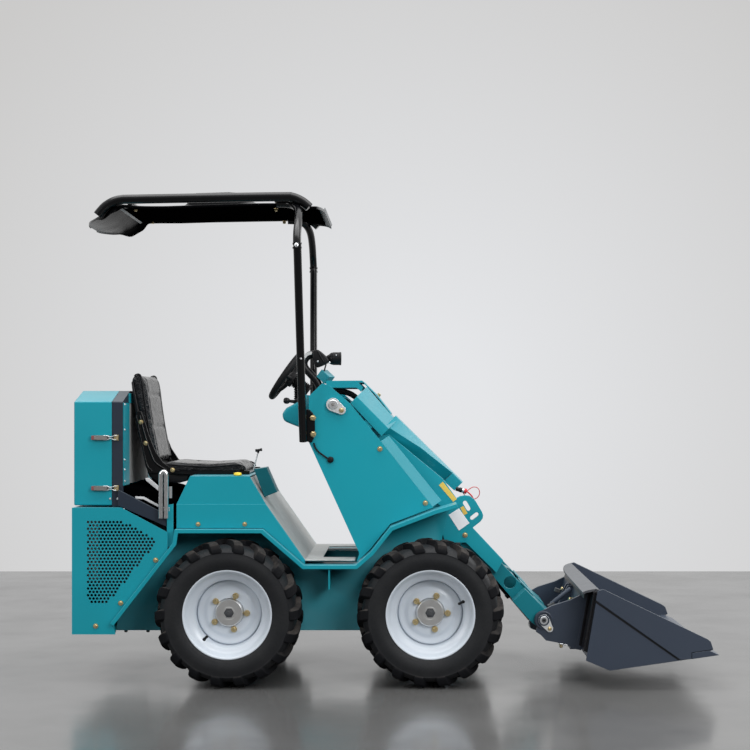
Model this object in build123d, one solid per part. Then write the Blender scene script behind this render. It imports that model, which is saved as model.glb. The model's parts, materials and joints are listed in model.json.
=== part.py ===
from build123d import *
import os
from math import cos, hypot, radians, sin

# Compact ride-on skid steer loader with a canopy, a central lift boom and a digging bucket.
# Millimetres. +X is forward (the bucket), +Y is the machine's left, +Z is up.
# The origin is on the ground, under the middle of the machine's overall box.

# ---------------------------------------------------------------- driving dimensions
# wheels
wheelbase = 800.0
front_axle_x = 152.0
tyre_radius = 292.0
tyre_width = 216.0
track_half = 412.0            # centre plane of a tyre
rear_axle_x = front_axle_x - wheelbase
rim_radius = 174.0            # rim flange
rim_width = 190.0
rim_drop = 15.0               # flange to bead seat
bead_gap = 0.3
disc_recess = 92.0            # outer flange to the face of the wheel disc
hub_radius = 60.0
spindle_radius = 30.0
spindle_clearance = 0.05
motor_radius = 62.0

# lower body
rear_x = rear_axle_x - 633.5   # back wall
belly_z = 200.0
deck_z = 707.0                # top of the rear lower body
tub_wall = 6.0
body_half = 398.0             # outer face of the rear side panels
panel_wall = 4.0
fender_half = 420.0
fender_plate = 5.0
lip_height = 16.0
tub_rear_x = rear_axle_x - 477.0
tub_front_x = 110.0           # cross wall between the front wheels
floor_z = 496.0

# rear engine housing
housing_half = 360.0
housing_flat_half = 195.0
shoulder_z = 1132.0
housing_top_z = 1177.0
housing_bottom_z = 714.0
hood_front_x = rear_axle_x - 481.0
frame_front_x = hood_front_x + 44.0
hood_wall = 4.0
frame_wall = 6.0
seam_gap = 1.5                # between the hood and its frame
hood_hinge_radius = 8.0

# seat and its base
seat_base_half = 380.0
seat_base_top_z = 833.0
seat_fold_z = 721.0
seat_base_wall = 4.0
seat_base_x = (rear_axle_x - 217.0, rear_axle_x + 75.0)    # rear wall, front of the top
seat_top_rear_x = rear_axle_x - 163.0
cushion_half = 225.0
cushion_top_z = 890.0
backrest_half = 215.0
backrest_top_z = 1256.0

# tower and canopy
tower_half = 330.0
tower_plate = 12.0
tower_stand = 50.0            # how far out on the fender the tower stands from the inner wall
tube_radius = 16.0
post_joint_half = 530.0
rail_half = 330.0
rail_z = 1961.0
roof_half = 250.0
roof_edge_z = 1930.0
roof_wall = 8.0
roof_crown_top_z = 2002.0

# boom
boom_pivot = (-239.5, 1120.0)
bucket_pivot = (611.5, 250.0)
arm_side_gap = 56.0           # boom side plate to tower plate
arm_plate = 25.0
inner_plate = 20.0            # inner plates of the lower boom, against the side plates
slot_half = 60.0              # slot in the boom's end for the tilt cylinder
cover_side_gap = 32.0         # boom cover to tower plate
ridge_inset = 46.0            # side of the boom cover to the edge of its ridge
cover_wall = 4.0
cover_origin = (12.5, 1075.0)  # top of the step on the boom cover's ridge
cover_slope = -44.6           # degrees, down towards the front
boom_pin_radius = 22.0
pin_clearance = 0.05
crosshead_half = 322.0
ear_gap = 8.0                 # crosshead to the coupler's ears

# hydraulic cylinders
lift_base = (-90.0, 400.0)
lift_eye = (-45.0, 950.0)
lift_inset = 57.0             # boom side plate to the middle of a lift cylinder
lift_barrel = (34.0, 460.0)   # radius, base eye to gland
lift_rod_radius = 17.0
lift_rod_start = 70.0         # base eye to the rod's inner end
tilt_base = (326.0, 520.0)
tilt_eye = (601.0, 192.0)
tilt_barrel = (28.0, 275.0)
tilt_rod_radius = 13.0
tilt_rod_start = 150.0
cylinder_pin_radius = 14.0
eye_radius = 27.0
eye_width = 40.0
lug_plate = 14.0
lug_gap = 6.0                 # each side of a rod's eye, whose pivot stays open
pin_stub = 4.0                # how far a rod's own pin stands out of its eye
rod_clearance = 0.05

# bucket and its coupler
ear_plate = 16.0
bucket_half = 536.0
bucket_plate = 8.0
overlay_plate = 6.0
bucket_tip_x = 1281.5

# ---------------------------------------------------------------- values that follow
axle_z = tyre_radius
bay_half = body_half - panel_wall
tub_half = tower_half - tower_stand            # outer face of the inner side walls
inside_tower = tower_half - tower_plate
post_foot_half = tower_half + 18.0
arm_half = inside_tower - arm_side_gap         # outer face of a boom side plate
inner_arm_half = arm_half - arm_plate
cover_half = inside_tower - cover_side_gap
lift_y = inner_arm_half - lift_inset
ear_inner_half = crosshead_half + ear_gap


# ---------------------------------------------------------------- small builders
def plate_xz(outline, y_low, y_high):
    """A flat plate with an X-Z outline, between two Y values."""
    face = make_face(Polyline([(x, y_high, z) for x, z in outline], close=True))
    return extrude(face, amount=y_high - y_low, dir=(0, -1, 0))


def bar_y(x, z, radius, y_low, y_high):
    """A round bar along Y."""
    middle = Pos(x, (y_low + y_high) / 2, z)
    return middle * Rot(90, 0, 0) * Cylinder(radius, y_high - y_low)


def box(x_low, x_high, y_low, y_high, z_low, z_high):
    """A block between two corners."""
    middle = Pos((x_low + x_high) / 2, (y_low + y_high) / 2, (z_low + z_high) / 2)
    return middle * Box(x_high - x_low, y_high - y_low, z_high - z_low)


def rod(start, end, radius):
    """A round bar between two points."""
    start = Vector(*start)
    end = Vector(*end)
    axis = end - start
    place = Plane(origin=start, z_dir=axis)
    return place * Cylinder(radius, axis.length, align=(Align.CENTER, Align.CENTER, Align.MIN))


def pipe(points, bend_radii, radius):
    """A round tube's outer shape, along straight runs joined by tangent arcs."""
    path = FilletPolyline(*points, radius=bend_radii)
    section = Plane(origin=path @ 0, z_dir=path % 0) * Circle(radius)
    return sweep(section, path=path)


def slot_xz(x, z, length, width, angle, y_low, y_high):
    """A cutter for a rounded slot through a plate that faces Y."""
    sketch = Rot(0, 0, angle) * SlotOverall(length, width)
    return Pos(x, y_high, z) * Rot(90, 0, 0) * extrude(sketch, amount=y_high - y_low)


def offset_line(outline, distance):
    """An open X-Z line moved sideways by a plate's thickness, with its corners mitred."""
    moved = []
    for index, (x, z) in enumerate(outline):
        normals = []
        for first in (index - 1, index):
            if 0 <= first < len(outline) - 1:
                (ax, az), (bx, bz) = outline[first], outline[first + 1]
                length = hypot(bx - ax, bz - az)
                normals.append(((bz - az) / length, (ax - bx) / length))
        nx = sum(normal[0] for normal in normals) / len(normals)
        nz = sum(normal[1] for normal in normals) / len(normals)
        scale = distance / (nx * nx + nz * nz)
        moved.append((x + nx * scale, z + nz * scale))
    return moved


def strip_xz(outline, thickness, y_low, y_high):
    """A bent plate: an open X-Z line given a thickness below it, between two Y values."""
    return plate_xz(outline + offset_line(outline, thickness)[::-1], y_low, y_high)


def mirrored(shape):
    """The same shape on the other side of the machine."""
    return mirror(shape, about=Plane.XZ)


def both(shape):
    """A shape and its mirror image as two solids."""
    return Compound(children=[shape, mirrored(shape)])


def behind_axle(outline):
    """X-Z points measured along X from the rear axle, in the machine's own frame."""
    return [(rear_axle_x + x, z) for x, z in outline]


nodes = {}


# ---------------------------------------------------------------- wheels
def tyre_solid():
    """A tyre with rounded shoulders about the Y axis at the origin, its outer side at -Y."""
    half = tyre_width / 2
    bead = rim_width / 2 - 11
    seat = rim_radius - rim_drop + bead_gap
    profile = Polyline(
        (seat, -bead),
        (rim_radius + 6, -bead - 4),
        (rim_radius + 40, -half),
        (tyre_radius - 42, -half),
        (tyre_radius - 8, -half + 16),
        (tyre_radius, -half + 40),
        (tyre_radius, half - 40),
        (tyre_radius - 8, half - 16),
        (tyre_radius - 42, half),
        (rim_radius + 40, half),
        (rim_radius + 6, bead + 4),
        (seat, bead),
        close=True,
    )
    return revolve(make_face(profile), axis=Axis.Y)


def rim_solid():
    """A rim, its recessed disc and its hub, with a bore for the spindle."""
    half = rim_width / 2
    disc_face = -half + disc_recess
    inside = rim_radius - 22
    barrel = Polyline(
        (rim_radius, -half),
        (rim_radius, -half + 6),
        (rim_radius - rim_drop, -half + 10),
        (rim_radius - rim_drop, half - 10),
        (rim_radius, half - 6),
        (rim_radius, half),
        (rim_radius - 6, half),
        (inside, half - 14),
        (inside, -half + 14),
        (rim_radius - 6, -half),
        close=True,
    )
    ring = revolve(make_face(barrel), axis=Axis.Y)
    dish = Polyline(
        (spindle_radius + spindle_clearance, disc_face - 26),
        (hub_radius - 6, disc_face - 26),
        (hub_radius, disc_face - 20),
        (hub_radius, disc_face - 8),
        (hub_radius + 40, disc_face),
        (inside - 24, disc_face),
        (inside - 14, disc_face - 14),
        (inside, disc_face - 14),
        (inside, disc_face - 2),
        (inside - 8, disc_face + 8),
        (spindle_radius + spindle_clearance, disc_face + 8),
        close=True,
    )
    return ring + revolve(make_face(dish), axis=Axis.Y)


# corner: name, axle position, side of the machine
wheel_corners = [
    ("rear_right", rear_axle_x, -1),
    ("rear_left", rear_axle_x, 1),
    ("front_right", front_axle_x, -1),
    ("front_left", front_axle_x, 1),
]
tyre_shape = tyre_solid()
rim_shape = rim_solid()
for corner, axle_x, side in wheel_corners:
    turn = Rot(0, 0, 0 if side < 0 else 180)
    place = Pos(axle_x, side * track_half, axle_z) * turn
    nodes[f"tyre_{corner}"] = place * tyre_shape
    nodes[f"rim_{corner}"] = place * rim_shape


def wheel_motor(axle_x):
    """A wheel motor on the right wall: its flange, its case and the spindle in the rim's bore."""
    disc_back = track_half + rim_width / 2 - disc_recess - 8
    flange = bar_y(axle_x, axle_z, motor_radius + 26, -tub_half - 16, -tub_half)
    case = bar_y(axle_x, axle_z, motor_radius, -disc_back + 12, -tub_half - 16)
    spindle = bar_y(axle_x, axle_z, spindle_radius, -disc_back - 30, -disc_back + 12)
    return flange + case + spindle


nodes["wheel_motors"] = Compound(children=[
    motor
    for axle_x in (rear_axle_x, front_axle_x)
    for motor in (wheel_motor(axle_x), mirrored(wheel_motor(axle_x)))
])

# ---------------------------------------------------------------- lower body
fender_z = 622.0
step_z = 479.0                # fender between the wheels
heel = (297.0, step_z)        # foot of the seat base's slope, from the rear axle
fender_line = behind_axle([(-477.0, 246.0), (-228.0, 566.0), (-220.0, fender_z), (131.0, fender_z), heel]) + [
    (-146.0, step_z),
    (-87.0, 530.0),
    (-8.0, 630.0),
    (172.0, 699.0),
    (258.0, 724.0),
]
mount_height = 40.0
engine_mount_x = (rear_axle_x - 442, rear_axle_x - 332)
engine_mount_y = (-150, 150)
mount_pad = 50.0
cheek_front = [(226.0, 678.0), (203.0, 578.0), (190.0, belly_z)]
wall_line = offset_line(fender_line, fender_plate)


def chassis_tub():
    """The inner side walls, the belly plate and the cross walls, as one welded tub."""
    outline = wall_line + cheek_front + [(tub_rear_x, belly_z)]
    wall = plate_xz(outline, -tub_half, -tub_half + tub_wall)
    inside = tub_half - tub_wall
    belly = box(tub_rear_x, tub_front_x, -inside, inside, belly_z, belly_z + tub_wall)
    front = box(tub_front_x - tub_wall, tub_front_x, -inside, inside, belly_z, 610)
    middle = box(-300, -300 + tub_wall, -inside, inside, belly_z + tub_wall, 420)
    pad = Box(mount_pad, mount_pad, mount_height, align=(Align.CENTER, Align.CENTER, Align.MIN))
    mounts = [Pos(x, y, belly_z + tub_wall) * pad for x in engine_mount_x for y in engine_mount_y]
    return wall + mirrored(wall) + belly + front + middle + mounts


def fender():
    """The right fender: a bent plate over both wheels, with a lip on its outer edge."""
    shelf = strip_xz(fender_line, fender_plate, -fender_half, -tub_half)
    lip = strip_xz(fender_line, lip_height, -fender_half, -fender_half + fender_plate)
    return shelf + lip


gusset_x = -252.0


def fender_gusset():
    """The upright rib under the middle of the right fender."""
    return box(gusset_x - 3, gusset_x + 3, -fender_half + 8, -tub_half, belly_z + 60, 475)


nodes["chassis_tub"] = chassis_tub()
nodes["fenders"] = both(fender() + fender_gusset())

side_panel_outline = [(rear_x, belly_z), (rear_x, deck_z)] + behind_axle([
    (-435.0, deck_z),
    (-251.0, 609.0),
    (-251.0, 536.5),
    (-477.0, 246.0),
    (-459.0, belly_z),
])
grille_outline = behind_axle([
    (-578.0, 660.0),
    (-436.0, 660.0),
    (-296.0, 584.0),
    (-304.0, 552.0),
    (-488.0, 322.0),
    (-572.0, 322.0),
])


def rear_side_panel():
    """The right side panel of the engine bay, with its window for the grille."""
    panel = plate_xz(side_panel_outline, -body_half, -body_half + panel_wall)
    return panel - plate_xz(grille_outline, -body_half - 1, -body_half + panel_wall + 1)


nodes["rear_side_panels"] = both(rear_side_panel())
nodes["side_grilles"] = both(plate_xz(grille_outline, -body_half + 1, -body_half + 3))

rear_wall = box(rear_x, rear_x + panel_wall, -bay_half, bay_half, belly_z, deck_z)
bay_floor = box(rear_x + panel_wall, tub_rear_x, -bay_half, bay_half, belly_z, belly_z + panel_wall)
bay_deck_x = rear_axle_x - 442
deck_rim = 20.0               # deck left in front of its opening
deck_opening = box(rear_x + 60, bay_deck_x - deck_rim, -250, 250, deck_z - panel_wall - 1, deck_z + 1)
bay_deck = box(rear_x + panel_wall, bay_deck_x, -bay_half, bay_half, deck_z - panel_wall, deck_z)
nodes["rear_body_shell"] = rear_wall + bay_floor + (bay_deck - deck_opening)
engine_x = (rear_axle_x - 567, rear_axle_x - 282)
nodes["engine_block"] = box(*engine_x, -190, 190, belly_z + tub_wall + mount_height, 640)


# ---------------------------------------------------------------- rear engine housing
def housing_profile(x, inset, bottom_z):
    """A Y-Z section of the engine housing, its walls moved in by an inset."""
    half = housing_half - inset
    flat = housing_flat_half - inset * 0.4
    low = bottom_z
    shoulder = shoulder_z - inset
    top = housing_top_z - inset
    corners = [(-half, low), (-half, shoulder), (-flat, top), (flat, top), (half, shoulder), (half, low)]
    sketch = make_face(Polyline([(x, y, z) for y, z in corners], close=True))
    round_edges = [vertex for vertex in sketch.vertices() if vertex.Z > bottom_z + 1]
    return fillet(round_edges, 60 - inset)


def housing_block(x_low, x_high, inset, bottom_z):
    """A solid stretch of the engine housing between two X values."""
    return extrude(housing_profile(x_low, inset, bottom_z), amount=x_high - x_low, dir=(1, 0, 0))


hood_block = housing_block(rear_x, hood_front_x, 0, housing_bottom_z)
hood_hollow = housing_block(rear_x + hood_wall, hood_front_x + 1, hood_wall, housing_bottom_z + hood_wall)
nodes["engine_hood"] = hood_block - hood_hollow

frame_block = housing_block(hood_front_x + seam_gap, frame_front_x, 0, deck_z)
frame_hollow = housing_block(hood_front_x, frame_front_x + 1, 40, deck_z - 1)
arm_outline_rear = behind_axle([(-452, 714), (-452, 790), (-292, 718), (-257, 702), (-257, 630)])
diagonal_arm = plate_xz(arm_outline_rear, -housing_half - 20, -housing_half)
nodes["housing_frame"] = frame_block - frame_hollow + diagonal_arm + mirrored(diagonal_arm)

firewall_block = housing_block(frame_front_x, frame_front_x + panel_wall, 8, deck_z)
firewall_port = box(frame_front_x - 1, frame_front_x + 30, -200, 200, deck_z + 20, 790)
nodes["firewall"] = firewall_block - firewall_port

hinge_x = hood_front_x - 6
hinge_y = housing_half + hood_hinge_radius + 2


def hood_hinge(z):
    """One hinge on the left side: the hood's knuckle and leaf, then the frame's."""
    knuckle = Cylinder(hood_hinge_radius, 34)
    hood_leaf = box(hinge_x - 40, hinge_x, housing_half, housing_half + 3, z, z + 34)
    frame_leaf = box(hinge_x + 2, hinge_x + 44, housing_half + 0.3, housing_half + 3.3, z - 35, z - 1)
    hood_half = Pos(hinge_x, hinge_y, z + 17) * knuckle + hood_leaf
    frame_half = Pos(hinge_x, hinge_y, z - 18) * knuckle + frame_leaf
    return hood_half, frame_half


hinge_pairs = [hood_hinge(z) for z in (860, 1050)]
nodes["hood_hinges"] = Compound(children=[pair[0] for pair in hinge_pairs])
nodes["frame_hinges"] = Compound(children=[pair[1] for pair in hinge_pairs])
latch_heights = (783.5, 986.5)
nodes["hood_latches"] = Compound(children=[
    box(hood_front_x - 79, hood_front_x - 7, -housing_half - 16, -housing_half, z - 9, z + 9)
    for z in latch_heights
])
nodes["latch_keepers"] = Compound(children=[
    box(hood_front_x + 11, hood_front_x + 28, -housing_half - 14, -housing_half, z - 11, z + 11)
    for z in latch_heights
])

# ---------------------------------------------------------------- seat base, floor and seat
seat_side_outline = behind_axle([
    (-217.0, fender_z),
    (-217.0, seat_fold_z),
    (-163.0, seat_base_top_z),
    (75.0, seat_base_top_z),
    (141.0, seat_fold_z),
    (299.0, floor_z),
    heel,
    (131.0, fender_z),
])


def seat_base():
    """Side walls, top plate and rear plate under the seat."""
    side = plate_xz(seat_side_outline, -seat_base_half, -seat_base_half + seat_base_wall)
    inside = seat_base_half - seat_base_wall
    rear_x_low, top_front_x = seat_base_x
    top = box(seat_top_rear_x, top_front_x, -inside, inside, seat_base_top_z - seat_base_wall, seat_base_top_z)
    rear = box(rear_x_low, rear_x_low + seat_base_wall, -inside, inside, fender_z, seat_fold_z)
    slope_points = [(rear_x_low, seat_fold_z), (seat_top_rear_x, seat_base_top_z)]
    slope = strip_xz(slope_points, seat_base_wall, -inside, inside)
    return side + mirrored(side) + top + rear + slope


nodes["seat_base"] = seat_base()

floor_front_x = -150.0
floor_inside = seat_base_half - seat_base_wall - 0.5
floor_plate = 4.0
slope_foot_x = rear_axle_x + 299
slope_line = behind_axle([(77, seat_base_top_z - 6), (141, seat_fold_z), (299, floor_z), (318, floor_z)])
slope_plate = strip_xz(slope_line, floor_plate, -floor_inside, floor_inside)
flat_floor = box(slope_foot_x, floor_front_x, -floor_inside, floor_inside, floor_z - floor_plate, floor_z)
floor_opening = box(-284, floor_front_x + 1, -250, 250, floor_z - 10, floor_z + 1)
nodes["floor_plates"] = slope_plate + (flat_floor - floor_opening)

cushion_x = (rear_axle_x - 237.0, rear_axle_x + 80.0)
cushion_round = 12.0
backrest_round = 10.0
seat_gap = 0.3                # between a pad and the steel next to it
bracket_plate = 8.0
rail_front = rear_axle_x + 48
seat_rail_top_z = seat_base_top_z + 16
bracket_y = -backrest_half - seat_gap
bracket_outline = behind_axle([(-287, 838), (-242, 838), (-280, 900), (-342, 1050), (-382, 1050), (-337, 915)])
seat_bracket = plate_xz(bracket_outline, bracket_y - bracket_plate, bracket_y)
seat_rail = box(
    rear_axle_x - 287, rail_front, bracket_y - bracket_plate, -backrest_half + 20, seat_base_top_z, seat_rail_top_z)
seat_side_frame = seat_bracket + seat_rail
seat_pan = box(
    rear_axle_x - 257, rail_front, -backrest_half, backrest_half, seat_base_top_z + 4, seat_rail_top_z)
nodes["seat_frame"] = seat_side_frame + mirrored(seat_side_frame) + seat_pan
cushion_block = box(*cushion_x, -cushion_half, cushion_half, seat_rail_top_z + seat_gap, cushion_top_z)
nodes["seat_cushion"] = fillet(cushion_block.edges(), cushion_round)
backrest_outline = behind_axle([
    (-297, 893), (-244, 893), (-314, 1235), (-337, backrest_top_z), (-412, backrest_top_z), (-434, 1232),
])
backrest_block = plate_xz(backrest_outline, -backrest_half, backrest_half)
nodes["seat_backrest"] = fillet(backrest_block.edges(), backrest_round)

control_box_outline = behind_axle([(127.4, 744), (85, 858), (136, 866), (180, 765)])
nodes["control_box"] = plate_xz(control_box_outline, -300, -210)
exhaust_foot = (rear_axle_x - 265, -body_half - 1.1, 665)
exhaust_stack = Cylinder(19, 185, align=(Align.CENTER, Align.CENTER, Align.MIN))
nodes["exhaust_pipe"] = Pos(*exhaust_foot) * exhaust_stack

# ---------------------------------------------------------------- tower
tower_outline = [
    (-146.0, 480.0),
    (-133.0, 518.0),
    (-338.0, 969.0),
    (-337.0, 1155.0),
    (-283.0, 1207.0),
    (-252.0, 1195.0),
    (-173.0, 1126.0),
    (-46.0, 971.0),
    (135.0, 746.0),
    (165.0, 704.0),
    (-8.0, 638.0),
    (-88.0, 537.0),
]


def tower_plate_right():
    """The right tower plate, with its hole for the boom pin."""
    side = plate_xz(tower_outline, -tower_half, -tower_half + tower_plate)
    hole = bar_y(*boom_pivot, boom_pin_radius + pin_clearance, -tower_half - 1, -tower_half + tower_plate + 1)
    return side - hole


flange_outline = [(-60, 962), (-14, 993), (199, 730), (150, 698)]
front_flange = plate_xz(flange_outline, -tower_half + tower_plate, -tower_half + tower_plate + 6)
nodes["tower_plates"] = both(tower_plate_right() + front_flange)

dash_rear_x = -353.0
dash_line = [(dash_rear_x, 1160), (dash_rear_x, 1000), (-334, 962), (-136, 526), (-136, 496)]
dash_thickness = 4.0
nodes["dash_panel"] = strip_xz(dash_line, -dash_thickness, -inside_tower, inside_tower)

# ---------------------------------------------------------------- steering and controls
wheel_centre = (-454.7, 0.0, 1244.5)
column_direction = (0.824, 0.0, -0.566)
steering_plane = Plane(origin=wheel_centre, z_dir=column_direction)
steering_radius = 107.0
steering_grip = 13.0
steering_drop = 26.0          # the hub lies this far below the rim, along the column

steering_rim = steering_plane * Torus(steering_radius, steering_grip)
steering_hub = steering_plane * Pos(0, 0, steering_drop) * Cylinder(32, 30)
spokes = [
    steering_plane * Rot(0, 0, angle) * Pos(steering_radius / 2 + 4, 0, steering_drop / 2) * Rot(0, 14, 0)
    * Box(steering_radius - 12, 22, 8)
    for angle in (60, 180, 300)
]
nodes["steering_wheel"] = steering_rim + steering_hub + spokes
column_gap = 1.0
column_start = steering_drop + 15 + column_gap
column_place = steering_plane * Pos(0, 0, column_start)
column_tube = column_place * Cylinder(22, 118, align=(Align.CENTER, Align.CENTER, Align.MIN))
column_stop = box(dash_rear_x, -200, -60, 60, 1000, 1300)
nodes["steering_column"] = column_tube - column_stop

console_outline = [
    (dash_rear_x, 1010), (dash_rear_x, 1140), (-400, 1132), (-448, 1106), (-466, 1082), (-458, 1052), (-430, 1040),
]
console_half = 100.0
nodes["lever_console"] = plate_xz(console_outline, -console_half, console_half)

lever_foot_radius = 15.0
lever_foot_height = 14.0
lever_stem_radius = 7.0
lever_knob_radius = 13.0
lever_height = 48.0           # console to the middle of the knob


def control_lever(first, second, y):
    """A lever square to the console's face between two corners: its boot, stem and knob."""
    length = hypot(second[0] - first[0], second[1] - first[1])
    normal = ((first[1] - second[1]) / length, 0, (second[0] - first[0]) / length)
    middle = ((first[0] + second[0]) / 2, y, (first[1] + second[1]) / 2)
    profile = make_face(Polyline(
        (0, 0),
        (lever_foot_radius, 0),
        (lever_stem_radius + 2, lever_foot_height),
        (lever_stem_radius, lever_foot_height),
        (lever_stem_radius, lever_height - lever_knob_radius),
        (lever_knob_radius, lever_height - lever_knob_radius + 5),
        (lever_knob_radius, lever_height + lever_knob_radius - 7),
        (lever_stem_radius, lever_height + lever_knob_radius),
        (0, lever_height + lever_knob_radius),
        close=True,
    ))
    upright = revolve(Rot(90, 0, 0) * profile, axis=Axis.Z)
    return Plane(origin=middle, z_dir=normal) * upright


# lever: the two corners of the console's face that it stands on, place across
lever_places = [(console_outline[3], console_outline[2], -70), (console_outline[2], console_outline[1], 60)]
nodes["control_levers"] = Compound(children=[control_lever(*row) for row in lever_places])

neck_y = inside_tower - 32
neck_points = [(-318, neck_y, 1160), (-343, neck_y, 1205), (-391, neck_y, 1282), (-352, neck_y, 1328)]
neck_tube = pipe(neck_points, [120, 30], 13)
neck_foot = box(-332, -306, neck_y + 4, inside_tower, 1138, 1170)
nodes["lamp_neck"] = neck_tube + neck_foot
pod_outline = [(-352, 1300), (-346, 1346), (-330, 1362), (-308, 1356), (-297, 1336), (-300, 1306), (-334, 1288)]
nodes["gauge_pod"] = plate_xz(pod_outline, neck_y - 34, neck_y + 24) - nodes["lamp_neck"]
lamp_back = Pos(-297 + 10, neck_y - 5, 1326) * Rot(0, 90, 0) * Cone(17, 29, 20)
lamp_head = Pos(-277 + 22, neck_y - 5, 1326) * Rot(0, 90, 0) * Cylinder(29, 44)
nodes["work_lamp"] = lamp_back + lamp_head
panel_box = Pos(-302, inside_tower - 33, 1246) * Rot(0, 0, -25) * Rot(0, 40, 0) * Box(50, 56, 40)
panel_bracket = box(-296, -284, inside_tower - 30, inside_tower, 1150, 1236) - panel_box
nodes["instrument_box"] = panel_box + panel_bracket

# ---------------------------------------------------------------- canopy
post_joint = (-371.0, 1745.0)
rail_front_x = -335.0
rail_rear_x = -1186.0


def canopy_post():
    """The right post: it leans out to its joint, then turns in and back to the rail."""
    return pipe(
        [
            (-359, -post_foot_half, 971),
            (post_joint[0], -post_joint_half, post_joint[1]),
            (post_joint[0] - 3, -post_joint_half, 1850),
            (-440, -rail_half - 6, rail_z - 24),
        ],
        [120, 60], tube_radius)


def canopy_rail():
    """The right rail, turned down at both ends."""
    return pipe(
        [
            (rail_front_x, -rail_half, rail_z - 36),
            (-392, -rail_half, rail_z),
            (-1110, -rail_half, rail_z - 13),
            (rail_rear_x, -rail_half, rail_z - 66),
        ],
        [70, 110], tube_radius)


right_side = canopy_rail() + canopy_post()
cross_tube_x = (-470, -1080)
cross_tube_radius = 12.0
cross_tube_z = rail_z - 6
cross_tubes = [bar_y(x, cross_tube_z, cross_tube_radius, -rail_half, rail_half) for x in cross_tube_x]
roof_stands = [
    box(x - 10, x + 10, y - 10, y + 10, roof_edge_z, cross_tube_z)
    for x in cross_tube_x
    for y in (-215, 215)
]
nodes["canopy_frame"] = right_side + mirrored(right_side) + cross_tubes + roof_stands

visor_half = 322.0
roof_line = [(-1120, roof_edge_z), (-320, roof_edge_z)]
rear_visor_line = [(-1250, 1868), (-1150, 1868), (-1090, roof_edge_z - 4)]
front_visor_line = [(-345, roof_edge_z - 4), (-280, 1912)]
roof_crown = plate_xz(
    [(-870, roof_edge_z), (-840, roof_crown_top_z), (-590, roof_crown_top_z), (-560, roof_edge_z)], -200, 200)
roof_crown_hollow = plate_xz(
    [(-860, roof_edge_z - 10), (-832, roof_crown_top_z - roof_wall),
     (-598, roof_crown_top_z - roof_wall), (-570, roof_edge_z - 10)],
    -200 + roof_wall, 200 - roof_wall)
nodes["canopy_roof"] = (
    strip_xz(roof_line, roof_wall, -roof_half, roof_half)
    + strip_xz(rear_visor_line, roof_wall, -visor_half, visor_half)
    + strip_xz(front_visor_line, roof_wall, -visor_half + 22, visor_half - 22)
    + roof_crown
    - roof_crown_hollow
)

bracket_points = [(-352, 965), (-322, 965), (-316, 985), (-316, 1090), (-330, 1106), (-352, 1106)]
post_bracket = plate_xz(bracket_points, -tower_half - 8, -tower_half)
nodes["post_brackets"] = both(post_bracket - nodes["canopy_frame"])

# ---------------------------------------------------------------- lamp wire
wire_radius = 4.0
wire_y = -tower_half - 6.0
wire_points = [(-317, wire_y, 965), (-311, wire_y, 940), (-285, wire_y, 918), (-262, wire_y, 903)]
wire_grommet = bar_y(-250, 897, 13, -tower_half - 12, -tower_half)
nodes["lamp_wire"] = pipe(wire_points, [24, 60], wire_radius) + wire_grommet

# ---------------------------------------------------------------- boom
arm_outline = [
    (-272, 1084),
    (-266, 1156),
    (-205, 1150),
    (-20, 1002),
    (205, 818),
    (264, 735),
    (295, 743),
    (316, 743),
    (333, 727),
    (370, 668),
    (366, 645),
    (329, 616),
    (453, 484),
    (425, 432),
    (300, 556),
    (262, 640),
    (120, 780),
]
# knee slot: place along X, height, angle
knee_slots = [(305, 702, -60), (334, 655, 35)]
slot_length = 38.0
slot_width = 20.0


def boom_arm():
    """The right boom side plate, with its bore and the two slots at the knee."""
    plate = plate_xz(arm_outline, -arm_half, -inner_arm_half)
    bore = bar_y(*boom_pivot, boom_pin_radius + pin_clearance, -arm_half - 1, -inner_arm_half + 1)
    slots = [
        slot_xz(x, z, slot_length, slot_width, angle, -arm_half - 1, -inner_arm_half + 1)
        for x, z, angle in knee_slots
    ]
    return plate - bore - slots


def lift_lug():
    """The right lug under the boom that the lift cylinder pushes on."""
    lug_inner = lift_y + eye_width / 2 + lug_gap
    outline = [(-92, 932), (-92, 990), (0, 990), (0, 932), (-25, 912), (-65, 912)]
    return plate_xz(outline, -inner_arm_half, -lug_inner)


# cross bars: place along X, height, radius
cross_bar_rows = [(150, 785, 36), (-150, 1070, 24)]
cross_bars = [bar_y(*row, -inner_arm_half, inner_arm_half) for row in cross_bar_rows]
spacer = plate_xz([(-110, 1058), (-80, 1030), (-94, 1016), (-124, 1044)], -cover_half + cover_wall, -arm_half)
right_arm = boom_arm() + lift_lug() + spacer
nodes["boom_arms"] = right_arm + mirrored(right_arm) + cross_bars
pin_half = tower_half + 8
nodes["boom_pin"] = bar_y(*boom_pivot, boom_pin_radius, -pin_half, pin_half)

inner_outline = [(326, 600), (618, 290), (566, 236), (352, 486), (330, 484), (296, 500), (270, 600)]
top_line = [(330, 604), (560, 361)]


def inner_arm():
    """The right inner plate of the lower boom, with its lightening hole and tilt pin bore."""
    plate = plate_xz(inner_outline, -inner_arm_half, -inner_arm_half + inner_plate)
    hole = bar_y(482, 390, 25, -arm_half, -inner_arm_half + inner_plate + 1)
    return plate - hole


def crosshead():
    """The right half of the boom's lower end, with the bore for the bucket's pin."""
    block = plate_xz([(540, 371), (488, 322), (566, 236), (618, 292)], -crosshead_half, -slot_half)
    boss = bar_y(*bucket_pivot, 40, -crosshead_half, -slot_half)
    bore = bar_y(*bucket_pivot, boom_pin_radius + pin_clearance, -crosshead_half - 1, -slot_half + 1)
    return block + boss - bore


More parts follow.
